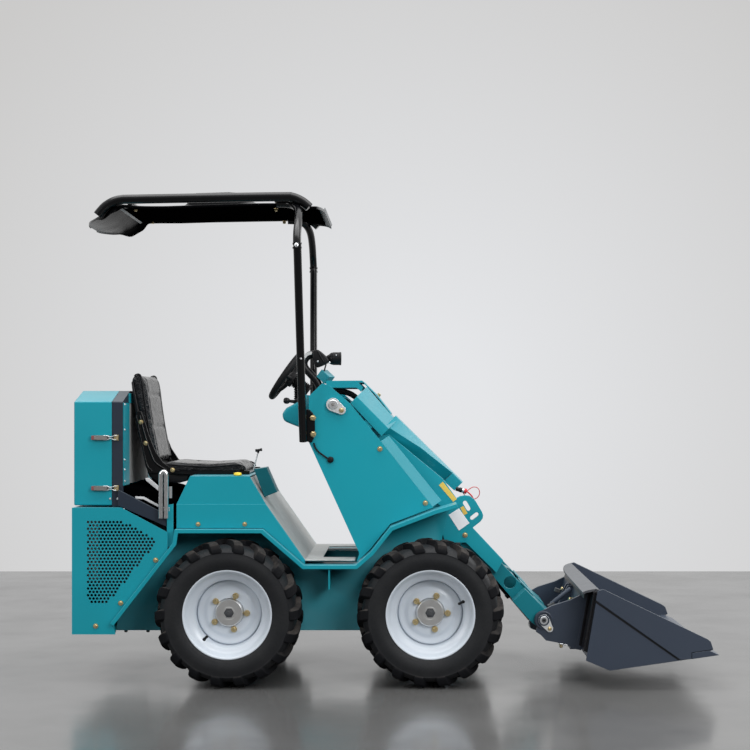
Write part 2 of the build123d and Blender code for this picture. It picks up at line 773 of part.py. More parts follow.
end_slot = box(430, 620, -slot_half, slot_half, 200, 620)
top_plate = strip_xz(top_line, 6, -inner_arm_half, inner_arm_half) - end_slot
tilt_pin = bar_y(*tilt_base, cylinder_pin_radius, -inner_arm_half + inner_plate, inner_arm_half - inner_plate)
lower_frame = inner_arm() + crosshead()
nodes["boom_lower_frame"] = lower_frame + mirrored(lower_frame) + top_plate + tilt_pin

slope_cos = cos(radians(cover_slope))
slope_sin = sin(radians(cover_slope))
cover_place = Plane(
    origin=(cover_origin[0], 0, cover_origin[1]),
    x_dir=(0, 1, 0),
    z_dir=(slope_cos, 0, slope_sin),
)
# cover section: distance along the boom, ridge half width, ridge, side half width, shoulder, lower edge
ridge_half = cover_half - ridge_inset
upper_sections = [
    (-167, ridge_half, 1.7, cover_half, -55, -92),
    (18, ridge_half, -14.05, cover_half, -57, -100),
]
lower_sections = [
    (0, ridge_half - 2, 0, cover_half - 1, -56, -99),
    (40, ridge_half - 26, 0, cover_half - 20, -48, -64),
    (166, ridge_half - 70, 0, cover_half - 80, -22, -60),
    (338, 104, 0, 110, -5, -54),
    (395, 104, 0, 110, -5, -52),
]


def cover_section(along, crest_half, ridge, half, shoulder, lower, inset):
    """One section of the boom cover, square to the boom, its walls moved in by an inset."""
    low = lower - 1 if inset else lower
    outer = half - inset
    side = shoulder - inset * 0.6
    inner = crest_half - inset * 0.3
    top = ridge - inset
    corners = [(-outer, low), (-outer, side), (-inner, top), (inner, top), (outer, side), (outer, low)]
    return cover_place.offset(along) * make_face(Polyline(corners, close=True))


def cover_block(sections, inset):
    """A stretch of the boom cover as a solid block."""
    sketches = [cover_section(*row, inset) for row in sections]
    spans = [loft([first, second], ruled=True) for first, second in zip(sketches, sketches[1:])]
    block = spans[0]
    for span in spans[1:]:
        block += span
    return block


cover_outside = cover_block(upper_sections, 0) + cover_block(lower_sections, 0)
cover_inside = cover_block(upper_sections, cover_wall) + cover_block(lower_sections, cover_wall)
nodes["boom_cover"] = cover_outside - cover_inside

loop_half = ridge_half
loop_flat_half = loop_half - 30
loop_line = [(-272, 1218), (-125, 1219), (-65, 1160), (-5.5, 1083.5)]
loop_sheet = strip_xz(loop_line, cover_wall, -loop_flat_half, loop_flat_half)
lip_outline = [(-272, 1211), (-139.6, 1211), (-121, 1192), (-128, 1172), (-148, 1190), (-272, 1190)]
loop_lip = plate_xz(lip_outline, -loop_half, -loop_half + cover_wall)
hip_outline = [(-272, 1218), (-125, 1219), (-117, 1211), (-139, 1211), (-272, 1211)]
loop_hip = plate_xz(hip_outline, -loop_half, -loop_flat_half)
nodes["boom_loop"] = loop_sheet + loop_lip + loop_hip + mirrored(loop_lip + loop_hip)


# ---------------------------------------------------------------- hydraulic cylinders
def cylinder_parts(base, eye, barrel_size, rod_radius, rod_start, y):
    """A barrel with its base eye, and its rod with the rod's eye and pin, at one Y value."""
    barrel_radius, barrel_length = barrel_size
    length = hypot(eye[0] - base[0], eye[1] - base[1])
    along = ((eye[0] - base[0]) / length, (eye[1] - base[1]) / length)

    def at(distance):
        return base[0] + along[0] * distance, y, base[1] + along[1] * distance

    bore_radius = rod_radius + rod_clearance
    half = eye_width / 2
    bore_start = eye_radius + 20
    barrel = rod(at(eye_radius - 6), at(barrel_length), barrel_radius)
    barrel -= rod(at(bore_start), at(barrel_length + 1), bore_radius)
    barrel += bar_y(*base, eye_radius, y - half, y + half)
    barrel -= bar_y(*base, cylinder_pin_radius + pin_clearance, y - half - 1, y + half + 1)
    piston = rod(at(rod_start), at(length - eye_radius + 6), rod_radius)
    piston += bar_y(*eye, eye_radius, y - half, y + half)
    piston += bar_y(*eye, cylinder_pin_radius, y - half - pin_stub, y + half + pin_stub)
    return barrel, piston


lift_barrel_shape, lift_rod_shape = cylinder_parts(
    lift_base, lift_eye, lift_barrel, lift_rod_radius, lift_rod_start, -lift_y)
nodes["lift_barrels"] = both(lift_barrel_shape)
nodes["lift_rods"] = both(lift_rod_shape)
nodes["tilt_barrel"], nodes["tilt_rod"] = cylinder_parts(
    tilt_base, tilt_eye, tilt_barrel, tilt_rod_radius, tilt_rod_start, 0)
lift_pin = bar_y(*lift_base, cylinder_pin_radius, -tub_half + tub_wall, -lift_y + eye_width / 2 + 8)
nodes["lift_pins"] = both(lift_pin)

# ---------------------------------------------------------------- coupler and bucket
ear_outer_half = ear_inner_half + ear_plate
ear_outline = [
    (585, 222), (580, 203), (600, 190), (620, 168), (664, 160), (721, 142), (717, 133),
    (739, 133), (785, 356), (757, 350), (720, 332), (644, 308), (600, 284),
]
face_outline = [(717, 133), (739, 133), (785, 356), (763, 356)]
tilt_lug_inner = eye_width / 2 + lug_gap
tilt_lug_outline = [
    (578, 200), (582, 176), (602, 166), (640, 158), (724, 134), (770, 356), (740, 356), (690, 262), (640, 208),
    (604, 220),
]


def coupler_side():
    """The right ear of the coupler with its boss, and the right lug for the tilt rod."""
    ear = plate_xz(ear_outline, -ear_outer_half, -ear_inner_half)
    boss = bar_y(*bucket_pivot, 38, -ear_outer_half, -ear_inner_half)
    lug = plate_xz(tilt_lug_outline, -tilt_lug_inner - lug_plate, -tilt_lug_inner)
    return ear + boss + lug


def bucket_pin():
    """The right pin of the bucket's pivot, from the ear into the boom's end."""
    return bar_y(*bucket_pivot, boom_pin_radius, -ear_outer_half - 8, -slot_half - 20)


right_coupler = coupler_side() + bucket_pin()
face_plate = plate_xz(face_outline, -ear_outer_half, ear_outer_half)
nodes["coupler"] = right_coupler + mirrored(right_coupler) + face_plate

bucket_inside = bucket_half - bucket_plate
bucket_side_outline = [
    (814, 394), (830, 394), (1244, 195), (1258, 160), (1174, 124), (853, 77.5), (760, 117), (803, 367),
]
bucket_side = plate_xz(bucket_side_outline, -bucket_half, -bucket_inside)
bucket_back_line = [(807, 386), (760, 117), (853, 77.5), (1174, 124)]
bucket_back = strip_xz(bucket_back_line, -bucket_plate, -bucket_inside, bucket_inside)
mount_outline = [(739, 133), (762, 128), (802, 362), (785, 356)]
mount_plate = plate_xz(mount_outline, -ear_outer_half, ear_outer_half)
top_flange = plate_xz([(750, 384), (814, 394), (814, 384), (752, 374)], -bucket_half, bucket_half)
overlay_outline = [(799, 354), (806, 392), (830, 394), (1244, 195), (1258, 160), (1174, 124), (1130, 121)]
overlay = plate_xz(overlay_outline, -bucket_half - overlay_plate, -bucket_half)
bucket_right = bucket_side + overlay
bucket_body = bucket_right + mirrored(bucket_right) + bucket_back + top_flange + mount_plate
edge_outline = [(1174, 124), (bucket_tip_x, 140), (1240, 158), (1174, 148)]
edge_half = bucket_half + overlay_plate
nodes["cutting_edge"] = plate_xz(edge_outline, -edge_half, edge_half)
nodes["bucket"] = bucket_body - nodes["cutting_edge"]


# ---------------------------------------------------------------- output
os.makedirs("parts", exist_ok=True)
for name, shape in nodes.items():
    export_step(shape, f"parts/{name}.step")
    print(f"{name:24s} {len(shape.solids())} solids  {shape.volume / 1e6:9.3f} dm3")
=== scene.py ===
import json
import math
from math import cos, pi, radians, sin

import bmesh
import bpy
from mathutils import Matrix, Vector


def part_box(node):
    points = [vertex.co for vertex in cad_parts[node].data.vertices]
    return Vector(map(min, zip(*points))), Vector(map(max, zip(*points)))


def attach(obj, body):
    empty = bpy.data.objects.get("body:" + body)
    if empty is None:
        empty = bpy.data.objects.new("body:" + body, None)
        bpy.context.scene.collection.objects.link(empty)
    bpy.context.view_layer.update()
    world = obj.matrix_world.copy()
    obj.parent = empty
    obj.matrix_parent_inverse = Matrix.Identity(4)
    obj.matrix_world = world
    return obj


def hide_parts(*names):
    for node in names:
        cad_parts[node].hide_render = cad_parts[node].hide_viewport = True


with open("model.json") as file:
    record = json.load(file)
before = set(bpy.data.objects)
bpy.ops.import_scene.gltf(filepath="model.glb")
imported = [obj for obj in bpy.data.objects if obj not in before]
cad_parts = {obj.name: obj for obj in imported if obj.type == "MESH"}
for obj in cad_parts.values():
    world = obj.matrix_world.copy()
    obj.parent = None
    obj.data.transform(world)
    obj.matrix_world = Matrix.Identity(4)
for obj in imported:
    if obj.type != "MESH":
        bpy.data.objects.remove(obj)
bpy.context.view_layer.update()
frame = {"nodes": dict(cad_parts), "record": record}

# Looks of a compact ride-on skid steer loader: sheet metal, wheels, seat, controls and trim.
# Sizes below are millimetres in the machine's own frame, +X forward, +Y to its left, +Z up.
# Meshes are made in millimetres and scaled by MM as they become pieces.
MM = 0.001
BODIES = frame["record"]["behaviour"]["bodies"]
NODE_BODY = {node: body for body, members in BODIES.items() for node in members}
BOTH_SIDES = (-1, 1)
OUTWARD, DOWN = (0, -1, 0), (0, 0, -1)


def box_mm(node):
    """A CAD node's lowest and highest corners, in millimetres."""
    low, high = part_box(node)
    return low / MM, high / MM


# ================================================================ camera and studio
camera_place = (63.5, -6600.0, 1098.0)
camera_data = bpy.data.cameras.new("camera")
camera_data.sensor_width = 36.0
camera_data.lens = 74.4
camera_data.shift_x = -0.044
camera_data.shift_y = 0.0467
camera = bpy.data.objects.new("camera", camera_data)
camera.location = Vector(camera_place) * MM
camera.rotation_euler = (radians(90), 0, 0)
bpy.context.scene.collection.objects.link(camera)
bpy.context.scene.camera = camera
bpy.context.scene.view_settings.view_transform = "Standard"


# ================================================================ node graph helpers
def new_material(name):
    """A node material, its tree and its principled shader."""
    material = bpy.data.materials.new(name)
    material.use_nodes = True
    return material, material.node_tree, material.node_tree.nodes["Principled BSDF"]


def feed(tree, node, inputs):
    """Each input of a node is linked to a socket, to each of a list of sockets, or set to a value."""
    for key, value in inputs.items():
        for part in value if isinstance(value, list) else [value]:
            if isinstance(part, bpy.types.NodeSocket):
                tree.links.new(part, node.inputs[key])
            else:
                node.inputs[key].default_value = part


def add_node(tree, kind, inputs=None, **settings):
    """A node with its settings, and with its inputs by name or number."""
    node = tree.nodes.new(kind)
    for key, value in settings.items():
        setattr(node, key, value)
    feed(tree, node, inputs or {})
    return node


def maths(tree, operation, *values):
    """A math node over sockets or numbers."""
    return add_node(tree, "ShaderNodeMath", dict(enumerate(values)), operation=operation).outputs[0]


def object_place(tree, scale=(1, 1, 1)):
    """Object coordinates through a Mapping node."""
    place = add_node(tree, "ShaderNodeTexCoord").outputs["Object"]
    return add_node(tree, "ShaderNodeMapping", {"Vector": place, "Scale": scale}).outputs["Vector"]


def noise_at(tree, vector, scale, detail=3.0, rough=0.55):
    """A noise value over a vector."""
    inputs = {"Vector": vector, "Scale": scale, "Detail": detail, "Roughness": rough}
    return add_node(tree, "ShaderNodeTexNoise", inputs).outputs["Fac"]


def ramp(tree, value, low, high, low_out=0.0, high_out=1.0):
    """A value remapped from one range to another, held at both ends."""
    inputs = {"Value": value, "From Min": low, "From Max": high, "To Min": low_out, "To Max": high_out}
    return add_node(tree, "ShaderNodeMapRange", inputs).outputs["Result"]


def blend_colours(tree, share, first, second):
    """Two colours, or colour sockets, mixed by a value."""
    first, second = [(*colour, 1.0) if isinstance(colour, tuple) else colour for colour in (first, second)]
    inputs = {"Factor": share, 6: first, 7: second}
    return add_node(tree, "ShaderNodeMix", inputs, data_type="RGBA").outputs[2]


def bump(tree, shader, height, strength, distance):
    """Relief on a shader from a height value, distance in metres."""
    relief = add_node(tree, "ShaderNodeBump", {"Strength": strength, "Distance": distance, "Height": height})
    feed(tree, shader, {"Normal": relief.outputs["Normal"]})


def surface_normal(tree):
    """The direction that the surface faces."""
    return add_node(tree, "ShaderNodeNewGeometry").outputs["Normal"]


def parts_of(tree, vector):
    """The X, Y and Z outputs of a vector."""
    return add_node(tree, "ShaderNodeSeparateXYZ", {0: vector}).outputs


def upward(tree):
    """How far a surface faces up, from 0 to 1."""
    return ramp(tree, parts_of(tree, surface_normal(tree))["Z"], 0.25, 0.8)


# ================================================================ materials
def worn_and_lit_edges(tree):
    """A value near 1 on outer and inner edges, from how a rounded normal leaves the true one: it marks edge
    wear and a painted edge highlight.
    """
    rounded = add_node(tree, "ShaderNodeBevel", {"Radius": 0.0025}, samples=4).outputs[0]
    agree = add_node(
        tree, "ShaderNodeVectorMath", {0: rounded, 1: surface_normal(tree)}, operation="DOT_PRODUCT")
    return ramp(tree, agree.outputs["Value"], 0.88, 0.995, 1.0, 0.0)


def powder_coat(
        name, colour, worn_and_lit_edge_colour, roughness, dust_and_top_light, coat=0.25, peel=0.25, worn_and_lit_strength=0.5, dust_and_top_light_tone=(0.37, 0.43, 0.45)):
    """Powder coat with slight orange peel, a slowly changing tone, paler edges from wear and a painted
    highlight, and a pale film on faces that look up, partly dust and partly a painted sheen.
    """
    material, tree, shader = new_material(name)
    place = object_place(tree)
    cloud = ramp(tree, noise_at(tree, place, 1.6, 3.0), 0.35, 0.7)
    tone = blend_colours(tree, cloud, colour, tuple(0.9 * c for c in colour))
    if worn_and_lit_strength:
        scuffs = ramp(tree, noise_at(tree, place, 30.0, 4.0, 0.65), 0.4, 0.65, 0.2 * worn_and_lit_strength, worn_and_lit_strength)
        # edges turn paler: partly wear, partly a painted highlight where edges catch the light
        tone = blend_colours(tree, maths(tree, "MULTIPLY", worn_and_lit_edges(tree), scuffs), tone, worn_and_lit_edge_colour)
    # faces that look up take a pale film: partly dust, partly a painted sheen of the overhead light
    film = ramp(tree, noise_at(tree, place, 4.0, 4.0, 0.6), 0.35, 0.75, 0.5 * dust_and_top_light, dust_and_top_light)
    streaks = noise_at(tree, place, 5.0, 4.0, 0.6)
    feed(tree, shader, {
        "Base Color": blend_colours(tree, maths(tree, "MULTIPLY", upward(tree), film), tone, dust_and_top_light_tone),
        "Roughness": ramp(tree, streaks, 0.3, 0.75, roughness - 0.04, roughness + 0.06),
        "Coat Weight": coat,
        "Coat Roughness": 0.22,
    })
    bump(tree, shader, noise_at(tree, place, 420.0, 2.0), peel, 0.0003)
    return material


def plain_metal(name, colour, roughness, grain=60.0, tarnish=(0.3, 0.28, 0.24)):
    """Bare or plated metal with uneven tarnish and fine scratches."""
    material, tree, shader = new_material(name)
    place = object_place(tree)
    cloud = ramp(tree, noise_at(tree, place, grain, 5.0, 0.65), 0.45, 0.75, 0.0, 0.3)
    fine = noise_at(tree, place, grain * 4, 4.0, 0.6)
    feed(tree, shader, {
        "Base Color": blend_colours(tree, cloud, colour, tarnish),
        "Roughness": ramp(tree, fine, 0.3, 0.7, roughness - 0.08, roughness + 0.12),
        "Metallic": 1.0,
    })
    bump(tree, shader, fine, 0.15, 0.0003)
    return material


def moulded(name, colour, roughness, grain=300.0, strength=0.3):
    """Moulded plastic or rubber with a fine grain and a slightly uneven tone."""
    material, tree, shader = new_material(name)
    place = object_place(tree)
    cloud = ramp(tree, noise_at(tree, place, 3.0, 3.0), 0.35, 0.7)
    pale = tuple(min(1.0, c * 1.15) for c in colour)
    fine = noise_at(tree, place, grain, 3.0)
    feed(tree, shader, {
        "Base Color": blend_colours(tree, cloud, colour, pale),
        "Roughness": ramp(tree, fine, 0.3, 0.7, roughness - 0.05, roughness + 0.08),
    })
    bump(tree, shader, fine, strength, 0.0004)
    return material


def galvanised(name):
    """Galvanised sheet with a spangle of pale crystals and grey smears."""
    material, tree, shader = new_material(name)
    place = object_place(tree)
    cells = add_node(tree, "ShaderNodeTexVoronoi", {"Vector": place, "Scale": 70.0})
    grey = add_node(tree, "ShaderNodeSeparateColor", {0: cells.outputs["Color"]}).outputs[0]
    spangle = blend_colours(tree, grey, (0.42, 0.43, 0.43), (0.6, 0.61, 0.6))
    smear = ramp(tree, noise_at(tree, place, 6.0, 5.0, 0.7), 0.4, 0.7, 0.0, 0.6)
    feed(tree, shader, {
        "Base Color": blend_colours(tree, smear, spangle, (0.36, 0.36, 0.34)),
        "Roughness": ramp(tree, grey, 0.0, 1.0, 0.38, 0.55),
        "Metallic": 0.55,
    })
    bump(tree, shader, noise_at(tree, place, 90.0, 3.0), 0.2, 0.0005)
    return material


def tyre_rubber(name):
    """Black rubber of the casing, with faint grey blotches."""
    material, tree, shader = new_material(name)
    place = object_place(tree)
    blotch = ramp(tree, noise_at(tree, place, 11.0, 5.0, 0.7), 0.4, 0.72, 0.0, 0.5)
    fine = noise_at(tree, place, 130.0, 4.0, 0.65)
    feed(tree, shader, {
        "Base Color": blend_colours(tree, blotch, (0.0085, 0.0095, 0.0115), (0.02, 0.02, 0.021)),
        "Roughness": ramp(tree, fine, 0.3, 0.7, 0.5, 0.72),
    })
    bump(tree, shader, fine, 0.35, 0.0007)
    return material


def tread_rubber(name):
    """Rubber of the tread blocks, brown where they face up: dry dust, and a painted highlight of the overhead
    light.
    """
    material, tree, shader = new_material(name)
    place = object_place(tree)
    dry = ramp(tree, noise_at(tree, place, 16.0, 5.0, 0.7), 0.35, 0.65)
    # brown on the faces that look up at the moment: dust, and painted top light
    dust_and_top_light = maths(tree, "MULTIPLY", dry, upward(tree))
    fine = noise_at(tree, place, 120.0, 4.0, 0.65)
    feed(tree, shader, {
        "Base Color": blend_colours(tree, dust_and_top_light, (0.0055, 0.006, 0.0075), (0.052, 0.046, 0.042)),
        "Roughness": ramp(tree, fine, 0.3, 0.7, 0.62, 0.85),
    })
    bump(tree, shader, fine, 0.5, 0.001)
    return material


def wrapped_vinyl(name):
    """Black vinyl under its crinkled film of clear plastic."""
    material, tree, shader = new_material(name)
    place = object_place(tree)
    stretch = object_place(tree, (1.0, 0.55, 1.5))
    warp = add_node(tree, "ShaderNodeTexNoise", {
        "Vector": stretch, "Scale": 9.0, "Detail": 4.0, "Roughness": 0.7, "Distortion": 1.4}).outputs
    shifted = add_node(
        tree, "ShaderNodeVectorMath", {0: warp["Color"], 1: (0.09, 0.09, 0.09), 2: stretch},
        operation="MULTIPLY_ADD")
    crinkle = add_node(
        tree, "ShaderNodeTexVoronoi", {"Vector": shifted.outputs[0], "Scale": 34.0},
        feature="DISTANCE_TO_EDGE")
    ridge = ramp(tree, crinkle.outputs["Distance"], 0.0, 0.22, 1.0, 0.0)
    haze = ramp(tree, noise_at(tree, place, 26.0, 5.0, 0.75), 0.42, 0.72, 0.0, 0.55)
    film = maths(tree, "MULTIPLY", haze, ramp(tree, warp["Fac"], 0.35, 0.65))
    feed(tree, shader, {
        "Base Color": blend_colours(tree, film, (0.004, 0.0045, 0.006), (0.045, 0.05, 0.06)),
        "Roughness": ramp(tree, haze, 0.0, 0.55, 0.18, 0.4),
        "Specular IOR Level": 0.2,
        "Coat Weight": 0.34,
        "Coat Roughness": 0.08,
    })
    bump(tree, shader, maths(tree, "ADD", ridge, warp["Fac"]), 0.45, 0.005)
    return material


def plastic_with_painted_reflection(name):
    """Glossy black roof plastic with a painted grey reflection along the front and rear lips, and dull below.
    """
    material, tree, shader = new_material(name)
    place = object_place(tree)
    along = parts_of(tree, place)["X"]
    # painted reflection: grey towards the rear lip and along the front lip
    rear = ramp(tree, along, -1.285, -1.19, 1.0, 0.0)
    front = ramp(tree, along, -0.31, -0.296, 0.0, 0.8)
    reflection_band = maths(tree, "MAXIMUM", maths(tree, "MULTIPLY", rear, rear), front)
    cloud = ramp(tree, noise_at(tree, place, 9.0, 4.0), 0.3, 0.7, 0.7, 1.0)
    reflection_share = maths(tree, "MULTIPLY", reflection_band, cloud)
    top_shine = ramp(tree, parts_of(tree, surface_normal(tree))["Z"], 0.85, 0.98, 0.0, 0.3)
    rear_shine = ramp(tree, along, -1.285, -1.112, 0.1, 0.008)
    shader.inputs["Specular IOR Level"].default_value = 0.1
    feed(tree, shader, {
        "Base Color": blend_colours(tree, reflection_share, (0.0012, 0.0013, 0.0017), (0.26, 0.265, 0.27)),
        "Roughness": ramp(tree, cloud, 0.7, 1.0, 0.22, 0.32),
        "Specular IOR Level": maths(tree, "ADD", top_shine, rear_shine),
    })
    return material


def turned_steel(name):
    """Turned steel with a soft stretched gleam and cloudy grey patches."""
    material, tree, shader = new_material(name)
    place = object_place(tree)
    cloud = ramp(tree, noise_at(tree, place, 30.0, 4.0), 0.4, 0.7, 0.0, 0.4)
    feed(tree, shader, {
        "Base Color": blend_colours(tree, cloud, (0.82, 0.82, 0.81), (0.62, 0.6, 0.58)),
        "Roughness": ramp(tree, noise_at(tree, place, 240.0, 3.0), 0.3, 0.7, 0.28, 0.42),
        "Metallic": 1.0,
        "Anisotropic": 0.5,
    })
    return material


TEAL = (0.005, 0.31, 0.39)
# paler teals for the edges: edge wear together with a painted highlight where edges catch the light
WORN_AND_LIT_TEAL = (0.12, 0.47, 0.53)
DEEP_WORN_AND_LIT_TEAL = (0.1, 0.42, 0.48)
# finish: how it is made, then its colour and other values in the order of its maker
FINISH_ROWS = {
    "teal_paint": (powder_coat, TEAL, WORN_AND_LIT_TEAL, 0.38, 0.22, 0.15),
    # pale_teal: the teal paint with a heavy pale film on faces that look up, a painted sheen for the boom
    # cover's lit top
    "pale_teal": (powder_coat, TEAL, WORN_AND_LIT_TEAL, 0.4, 0.9, 0.12, 0.25, 0.5, (0.4, 0.42, 0.43)),
    "charcoal_paint": (powder_coat, (0.038, 0.051, 0.077), (0.085, 0.095, 0.115), 0.42, 0.05, 0.15),
    "frame_paint": (powder_coat, (0.019, 0.028, 0.045), (0.09, 0.1, 0.12), 0.42, 0.12, 0.15),
    "black_gloss": (powder_coat, (0.002, 0.0021, 0.0028), (0.06, 0.06, 0.07), 0.16, 0.0, 0.12, 0.05, 0.0),
    "rim_paint": (powder_coat, (0.64, 0.7, 0.77), (0.8, 0.82, 0.84), 0.34, 0.0, 0.4, 0.12, 0.0),
    "roof_plastic": (plastic_with_painted_reflection,),
    "black_plastic": (moulded, (0.006, 0.006, 0.0075), 0.38),
    "black_rubber": (moulded, (0.008, 0.008, 0.009), 0.55, 200.0, 0.4),
    "zinc_yellow": (plain_metal, (0.74, 0.6, 0.33), 0.32, 90.0, (0.5, 0.36, 0.16)),
    "zinc_plate": (plain_metal, (0.78, 0.8, 0.82), 0.34, 60.0, (0.55, 0.56, 0.58)),
    "bare_steel": (plain_metal, (0.4, 0.39, 0.38), 0.38),
    "chrome": (plain_metal, (0.82, 0.83, 0.84), 0.14, 40.0, (0.6, 0.6, 0.6)),
    "cast_iron": (moulded, (0.05, 0.052, 0.056), 0.55, 160.0, 0.5),
    "turned_steel": (turned_steel,),
    "floor_zinc": (galvanised,),
    "tyre_rubber": (tyre_rubber,),
    "tread_rubber": (tread_rubber,),
    "wrapped_vinyl": (wrapped_vinyl,),
    "label_yellow": (moulded, (0.72, 0.5, 0.09), 0.5, 60.0, 0.05),
    "label_white": (moulded, (0.9, 0.93, 0.98), 0.45, 60.0, 0.05),
    "liner_grey": (moulded, (0.3, 0.31, 0.31), 0.6, 80.0, 0.1),
    "dusty_teal": (powder_coat, (0.012, 0.3, 0.375), (0.14, 0.48, 0.54), 0.42, 0.08, 0.1),
    # deep_teal: a dark copy of the teal paint, painted shade on the control box's recessed face and on the
    # cross tube seen through the boom's holes
    "deep_teal": (powder_coat, (0.002, 0.1, 0.125), DEEP_WORN_AND_LIT_TEAL, 0.42, 0.4, 0.1),
    # boom_teal: a darker copy of the teal paint, painted shade on the lower boom
    "boom_teal": (powder_coat, (0.003, 0.2, 0.25), DEEP_WORN_AND_LIT_TEAL, 0.4, 0.1, 0.1),
    # visor_grey: grey for strips that are painted highlights on the roof's black visor edges
    "visor_grey": (moulded, (0.3, 0.31, 0.32), 0.35, 60.0, 0.05),
    "keeper_white": (plain_metal, (0.9, 0.92, 0.93), 0.42, 60.0, (0.75, 0.76, 0.76)),
    "worn_steel": (powder_coat, (0.085, 0.089, 0.1), (0.2, 0.2, 0.22), 0.5, 0.06, 0.05),
    "white_foam": (moulded, (0.62, 0.63, 0.65), 0.6, 90.0, 0.3),
    # black_foam: near black and without shine, painted shade for the hollow under the seat and the roof's
    # underside
    "black_foam": (moulded, (0.0008, 0.0008, 0.001), 0.9, 120.0, 0.3),
    "grip_red": (moulded, (0.22, 0.06, 0.06), 0.45),
    "red_rubber": (moulded, (0.5, 0.02, 0.025), 0.45),
    "knob_yellow": (moulded, (0.8, 0.58, 0.04), 0.35),
}
FINISHES = {name: maker(name, *values) for name, (maker, *values) in FINISH_ROWS.items()}

# how strongly the dull finishes reflect at their surface
SURFACE_SHINE = {
    "black_foam": 0.0, "liner_grey": 0.15, "black_plastic": 0.28, "black_rubber": 0.18, "black_gloss": 0.3,
    "tyre_rubber": 0.3, "tread_rubber": 0.12, "frame_paint": 0.3, "charcoal_paint": 0.35, "visor_grey": 0.4,
    "teal_paint": 0.33, "pale_teal": 0.33, "boom_teal": 0.3, "deep_teal": 0.2, "dusty_teal": 0.33,
}
for name, shine in SURFACE_SHINE.items():
    FINISHES[name].node_tree.nodes["Principled BSDF"].inputs["Specular IOR Level"].default_value = shine

# ================================================================ studio
floor_half_width = 9000.0
floor_depth = (-7000.0, 3950.0)
# the wall seen behind the machine is painted brighter at its middle than at its edges, a pool of light on it
wall_centre = (0.78, 0.79, 0.81)
wall_edge = (0.6, 0.595, 0.59)


def polished_floor():
    """A pale grey polished floor with faint clouds."""
    material, tree, shader = new_material("studio_floor")
    place = object_place(tree)
    cloud = ramp(tree, noise_at(tree, place, 0.9, 5.0, 0.6), 0.35, 0.7)
    feed(tree, shader, {
        "Base Color": blend_colours(tree, cloud, (0.104, 0.104, 0.104), (0.126, 0.126, 0.124)),
        "Roughness": ramp(tree, noise_at(tree, place, 2.2, 4.0), 0.3, 0.7, 0.12, 0.24),
    })
    bump(tree, shader, noise_at(tree, place, 5.0, 3.0), 0.05, 0.01)
    return material


def make_floor():
    """A flat floor that ends behind the machine."""
    mesh = bpy.data.meshes.new("studio_floor")
    near, far = floor_depth
    corners = [
        (-floor_half_width, near), (floor_half_width, near), (floor_half_width, far),
        (-floor_half_width, far)]
    mesh.from_pydata([(x * MM, y * MM, 0) for x, y in corners], [], [(0, 1, 2, 3)])
    mesh.materials.append(polished_floor())
    floor = bpy.data.objects.new("studio_floor", mesh)
    bpy.context.scene.collection.objects.link(floor)


def soft_light(name, place, aim, size, power, colour=(1, 1, 1)):
    """A square soft box, place and aim in millimetres."""
    data = bpy.data.lights.new(name, "AREA")
    data.shape = "RECTANGLE"
    data.size = size[0] * MM
    data.size_y = size[1] * MM
    data.energy = power
    data.color = colour
    light = bpy.data.objects.new(name, data)
    light.location = Vector(place) * MM
    light.rotation_euler = (Vector(aim) - Vector(place)).to_track_quat("-Z", "Y").to_euler()
    bpy.context.scene.collection.objects.link(light)


def pale_world():
    """A pale wall to look at, and softer light that grows from the front to the back and the top."""
    world = bpy.data.worlds.new("studio")
    world.use_nodes = True
    tree = world.node_tree
    look = add_node(tree, "ShaderNodeTexCoord").outputs["Generated"]
    flat = add_node(tree, "ShaderNodeVectorMath", {0: look, 1: (1.0, 0.0, 1.0)},
        operation="MULTIPLY").outputs[0]
    reach = add_node(tree, "ShaderNodeVectorMath", {0: flat}, operation="LENGTH").outputs["Value"]
    # painted pool of light: the wall is brighter at its middle
    wall = blend_colours(tree, ramp(tree, reach, 0.05, 0.34), wall_centre, wall_edge)
    ways = parts_of(tree, look)
    backward = ramp(tree, ways["Y"], -0.6, 0.8, 0.2, 0.62)
    upwards = ramp(tree, ways["Z"], 0.05, 0.8, 0.0, 0.6)
    both_ways = maths(tree, "ADD", backward, upwards)
    soft = add_node(tree, "ShaderNodeCombineColor", {"Red": both_ways, "Green": both_ways, "Blue": both_ways})
    seen = add_node(tree, "ShaderNodeLightPath").outputs["Is Camera Ray"]
    feed(tree, tree.nodes["Background"], {"Color": blend_colours(tree, seen, soft.outputs[0], wall)})
    bpy.context.scene.world = world


make_floor()
pale_world()
# soft box: name, place, aim, size, power
for row in [
    ("overhead", (-100, -700, 4300), (0, 0, 500), (4600, 2600), 135),
    ("right_front", (2600, -4200, 2900), (100, 0, 800), (2400, 2000), 120),
    ("left_front", (-3900, -3600, 2300), (-300, 0, 700), (1800, 1800), 45),
    ("right_rear", (3600, 2600, 3000), (0, 0, 900), (2200, 2200), 45),
]:
    soft_light(*row)


# ================================================================ mesh helpers
def make_piece(name, bm, finish, body, replaced=(), smooth=None):
    """A bmesh in millimetres becomes a piece in the machine's frame that rides on a body."""
    bmesh.ops.scale(bm, vec=(MM, MM, MM), verts=bm.verts)
    bmesh.ops.remove_doubles(bm, verts=bm.verts, dist=1e-6)
    bmesh.ops.recalc_face_normals(bm, faces=bm.faces)
    mesh = bpy.data.meshes.new(name)
    bm.to_mesh(mesh)
    bm.free()
    place_mesh(name, mesh, finish, body, replaced, smooth)


def flat_weighted(mesh):
    """The mesh with its rounded edges shaded so that the large flat faces stay flat."""
    carrier = bpy.data.objects.new("carrier", mesh)
    bpy.context.scene.collection.objects.link(carrier)
    weigh = carrier.modifiers.new("weigh", "WEIGHTED_NORMAL")
    weigh.keep_sharp = True
    weigh.weight = 100
    return evaluated_mesh(carrier)


